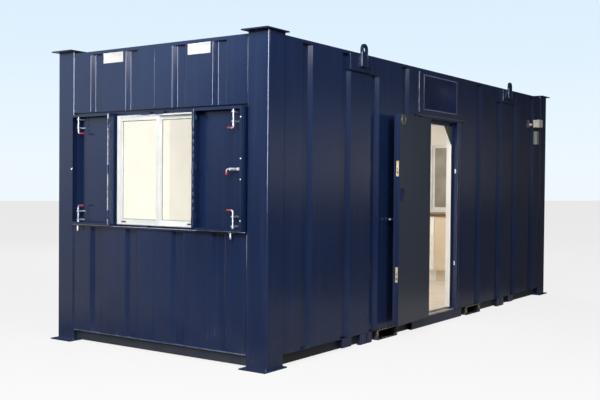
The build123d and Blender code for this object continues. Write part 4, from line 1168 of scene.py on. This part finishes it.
def camera(stage):
    """The camera, turned from a front view by azimuth, elevation and roll."""
    data = bpy.data.cameras.new("studio_camera")
    data.lens = stage.lens
    data.sensor_width = 36.0
    data.clip_end = 300.0
    made = bpy.data.objects.new("studio_camera", data)
    bpy.context.scene.collection.objects.link(made)
    made.matrix_world = Matrix.Translation(stage.camera_place)
    for degrees, axis in ((stage.azimuth, "Z"), (90 - stage.elevation, "X"), (stage.roll, "Z")):
        made.matrix_world @= Matrix.Rotation(math.radians(degrees), 4, axis)
    return made


class CABIN_OT_set_stage(bpy.types.Operator):
    """Set the floor, backdrop, lamps and camera"""

    bl_idname = "cabin.set_stage"
    bl_label = "Set the stage"

    def execute(self, context):
        stage = context.scene.cabin_stage
        scene = context.scene
        nothing_selected()
        turn = math.radians(stage.floor_turn)
        away = Vector((math.cos(turn), math.sin(turn), 0.0))
        middle = (stage.floor_reach - stage.floor_size / 2) * away
        bpy.ops.mesh.primitive_plane_add(size=stage.floor_size, location=middle, rotation=(0.0, 0.0, turn))
        ground = applied()
        ground.name = "studio_floor"
        ground.data.materials.append(floor_finish())
        scene.world = backdrop(stage.even)

        # a strip that only glints on the folds, and soft lamps for the gable, front and back
        strip = lamp("glint_strip", (-8.4, 0.5, 3.6), (0.0, 0.8, 2.0), (3.0, 4.5), stage.glint, "#E6ECFF")
        strip.visible_diffuse = False
        lamp("gable_soft", (-6.0, -1.3, 5.5), (0.0, 1.0, 1.2), (5.0, 4.0), stage.gable)
        lamp("front_soft", (-1.0, -5.0, 4.8), (0.8, 0.0, 1.6), (3.0, 3.0), stage.front)
        back = lamp("back_soft", (9.5, 8.0, 6.0), (3.5, 1.6, 1.2), (6.0, 4.0), stage.back)
        back.visible_glossy = False
        # lamps inside that no opening shows, facing the back wall and the far floor
        lamp("inside_near", (1.3, 0.25, 1.3), (1.3, 2.3, 1.3), (2.0, 2.0), stage.inside)
        lamp("inside_far", (4.4, 1.2, 2.38), (4.8, 1.2, 0.0), (1.8, 1.6), stage.inside * 0.95)

        scene.camera = camera(stage)
        scene.view_settings.view_transform = "Standard"
        return {"FINISHED"}


class CABIN_PT_panel(bpy.types.Panel):
    """Steps that dress the cabin"""

    bl_label = "Site cabin"
    bl_idname = "CABIN_PT_panel"
    bl_space_type = "VIEW_3D"
    bl_region_type = "UI"
    bl_category = "Cabin"

    def draw(self, context):
        for step in STEPS:
            self.layout.operator(step.bl_idname)


STEPS = (
    CABIN_OT_finish_steel,
    CABIN_OT_finish_inside,
    CABIN_OT_add_plates,
    CABIN_OT_add_welds,
    CABIN_OT_add_foot_trims,
    CABIN_OT_add_shutter_fittings,
    CABIN_OT_add_window_fittings,
    CABIN_OT_add_door_fittings,
    CABIN_OT_add_reveal,
    CABIN_OT_add_inlet_fittings,
    CABIN_OT_set_stage,
)
GROUPS = {"cabin_colours": SiteCabinColours, "cabin_sizes": SiteCabinSizes, "cabin_stage": SiteCabinStage}
CLASSES = (*GROUPS.values(), *STEPS, CABIN_PT_panel)


def register():
    for made in CLASSES:
        bpy.utils.register_class(made)
    for name, group in GROUPS.items():
        setattr(bpy.types.Scene, name, PointerProperty(type=group))


def unregister():
    for name in GROUPS:
        delattr(bpy.types.Scene, name)
    for made in reversed(CLASSES):
        bpy.utils.unregister_class(made)


def main():
    register()
    for step in STEPS:
        group, name = step.bl_idname.split(".")
        getattr(getattr(bpy.ops, group), name)()


if __name__ == "__main__":
    main()
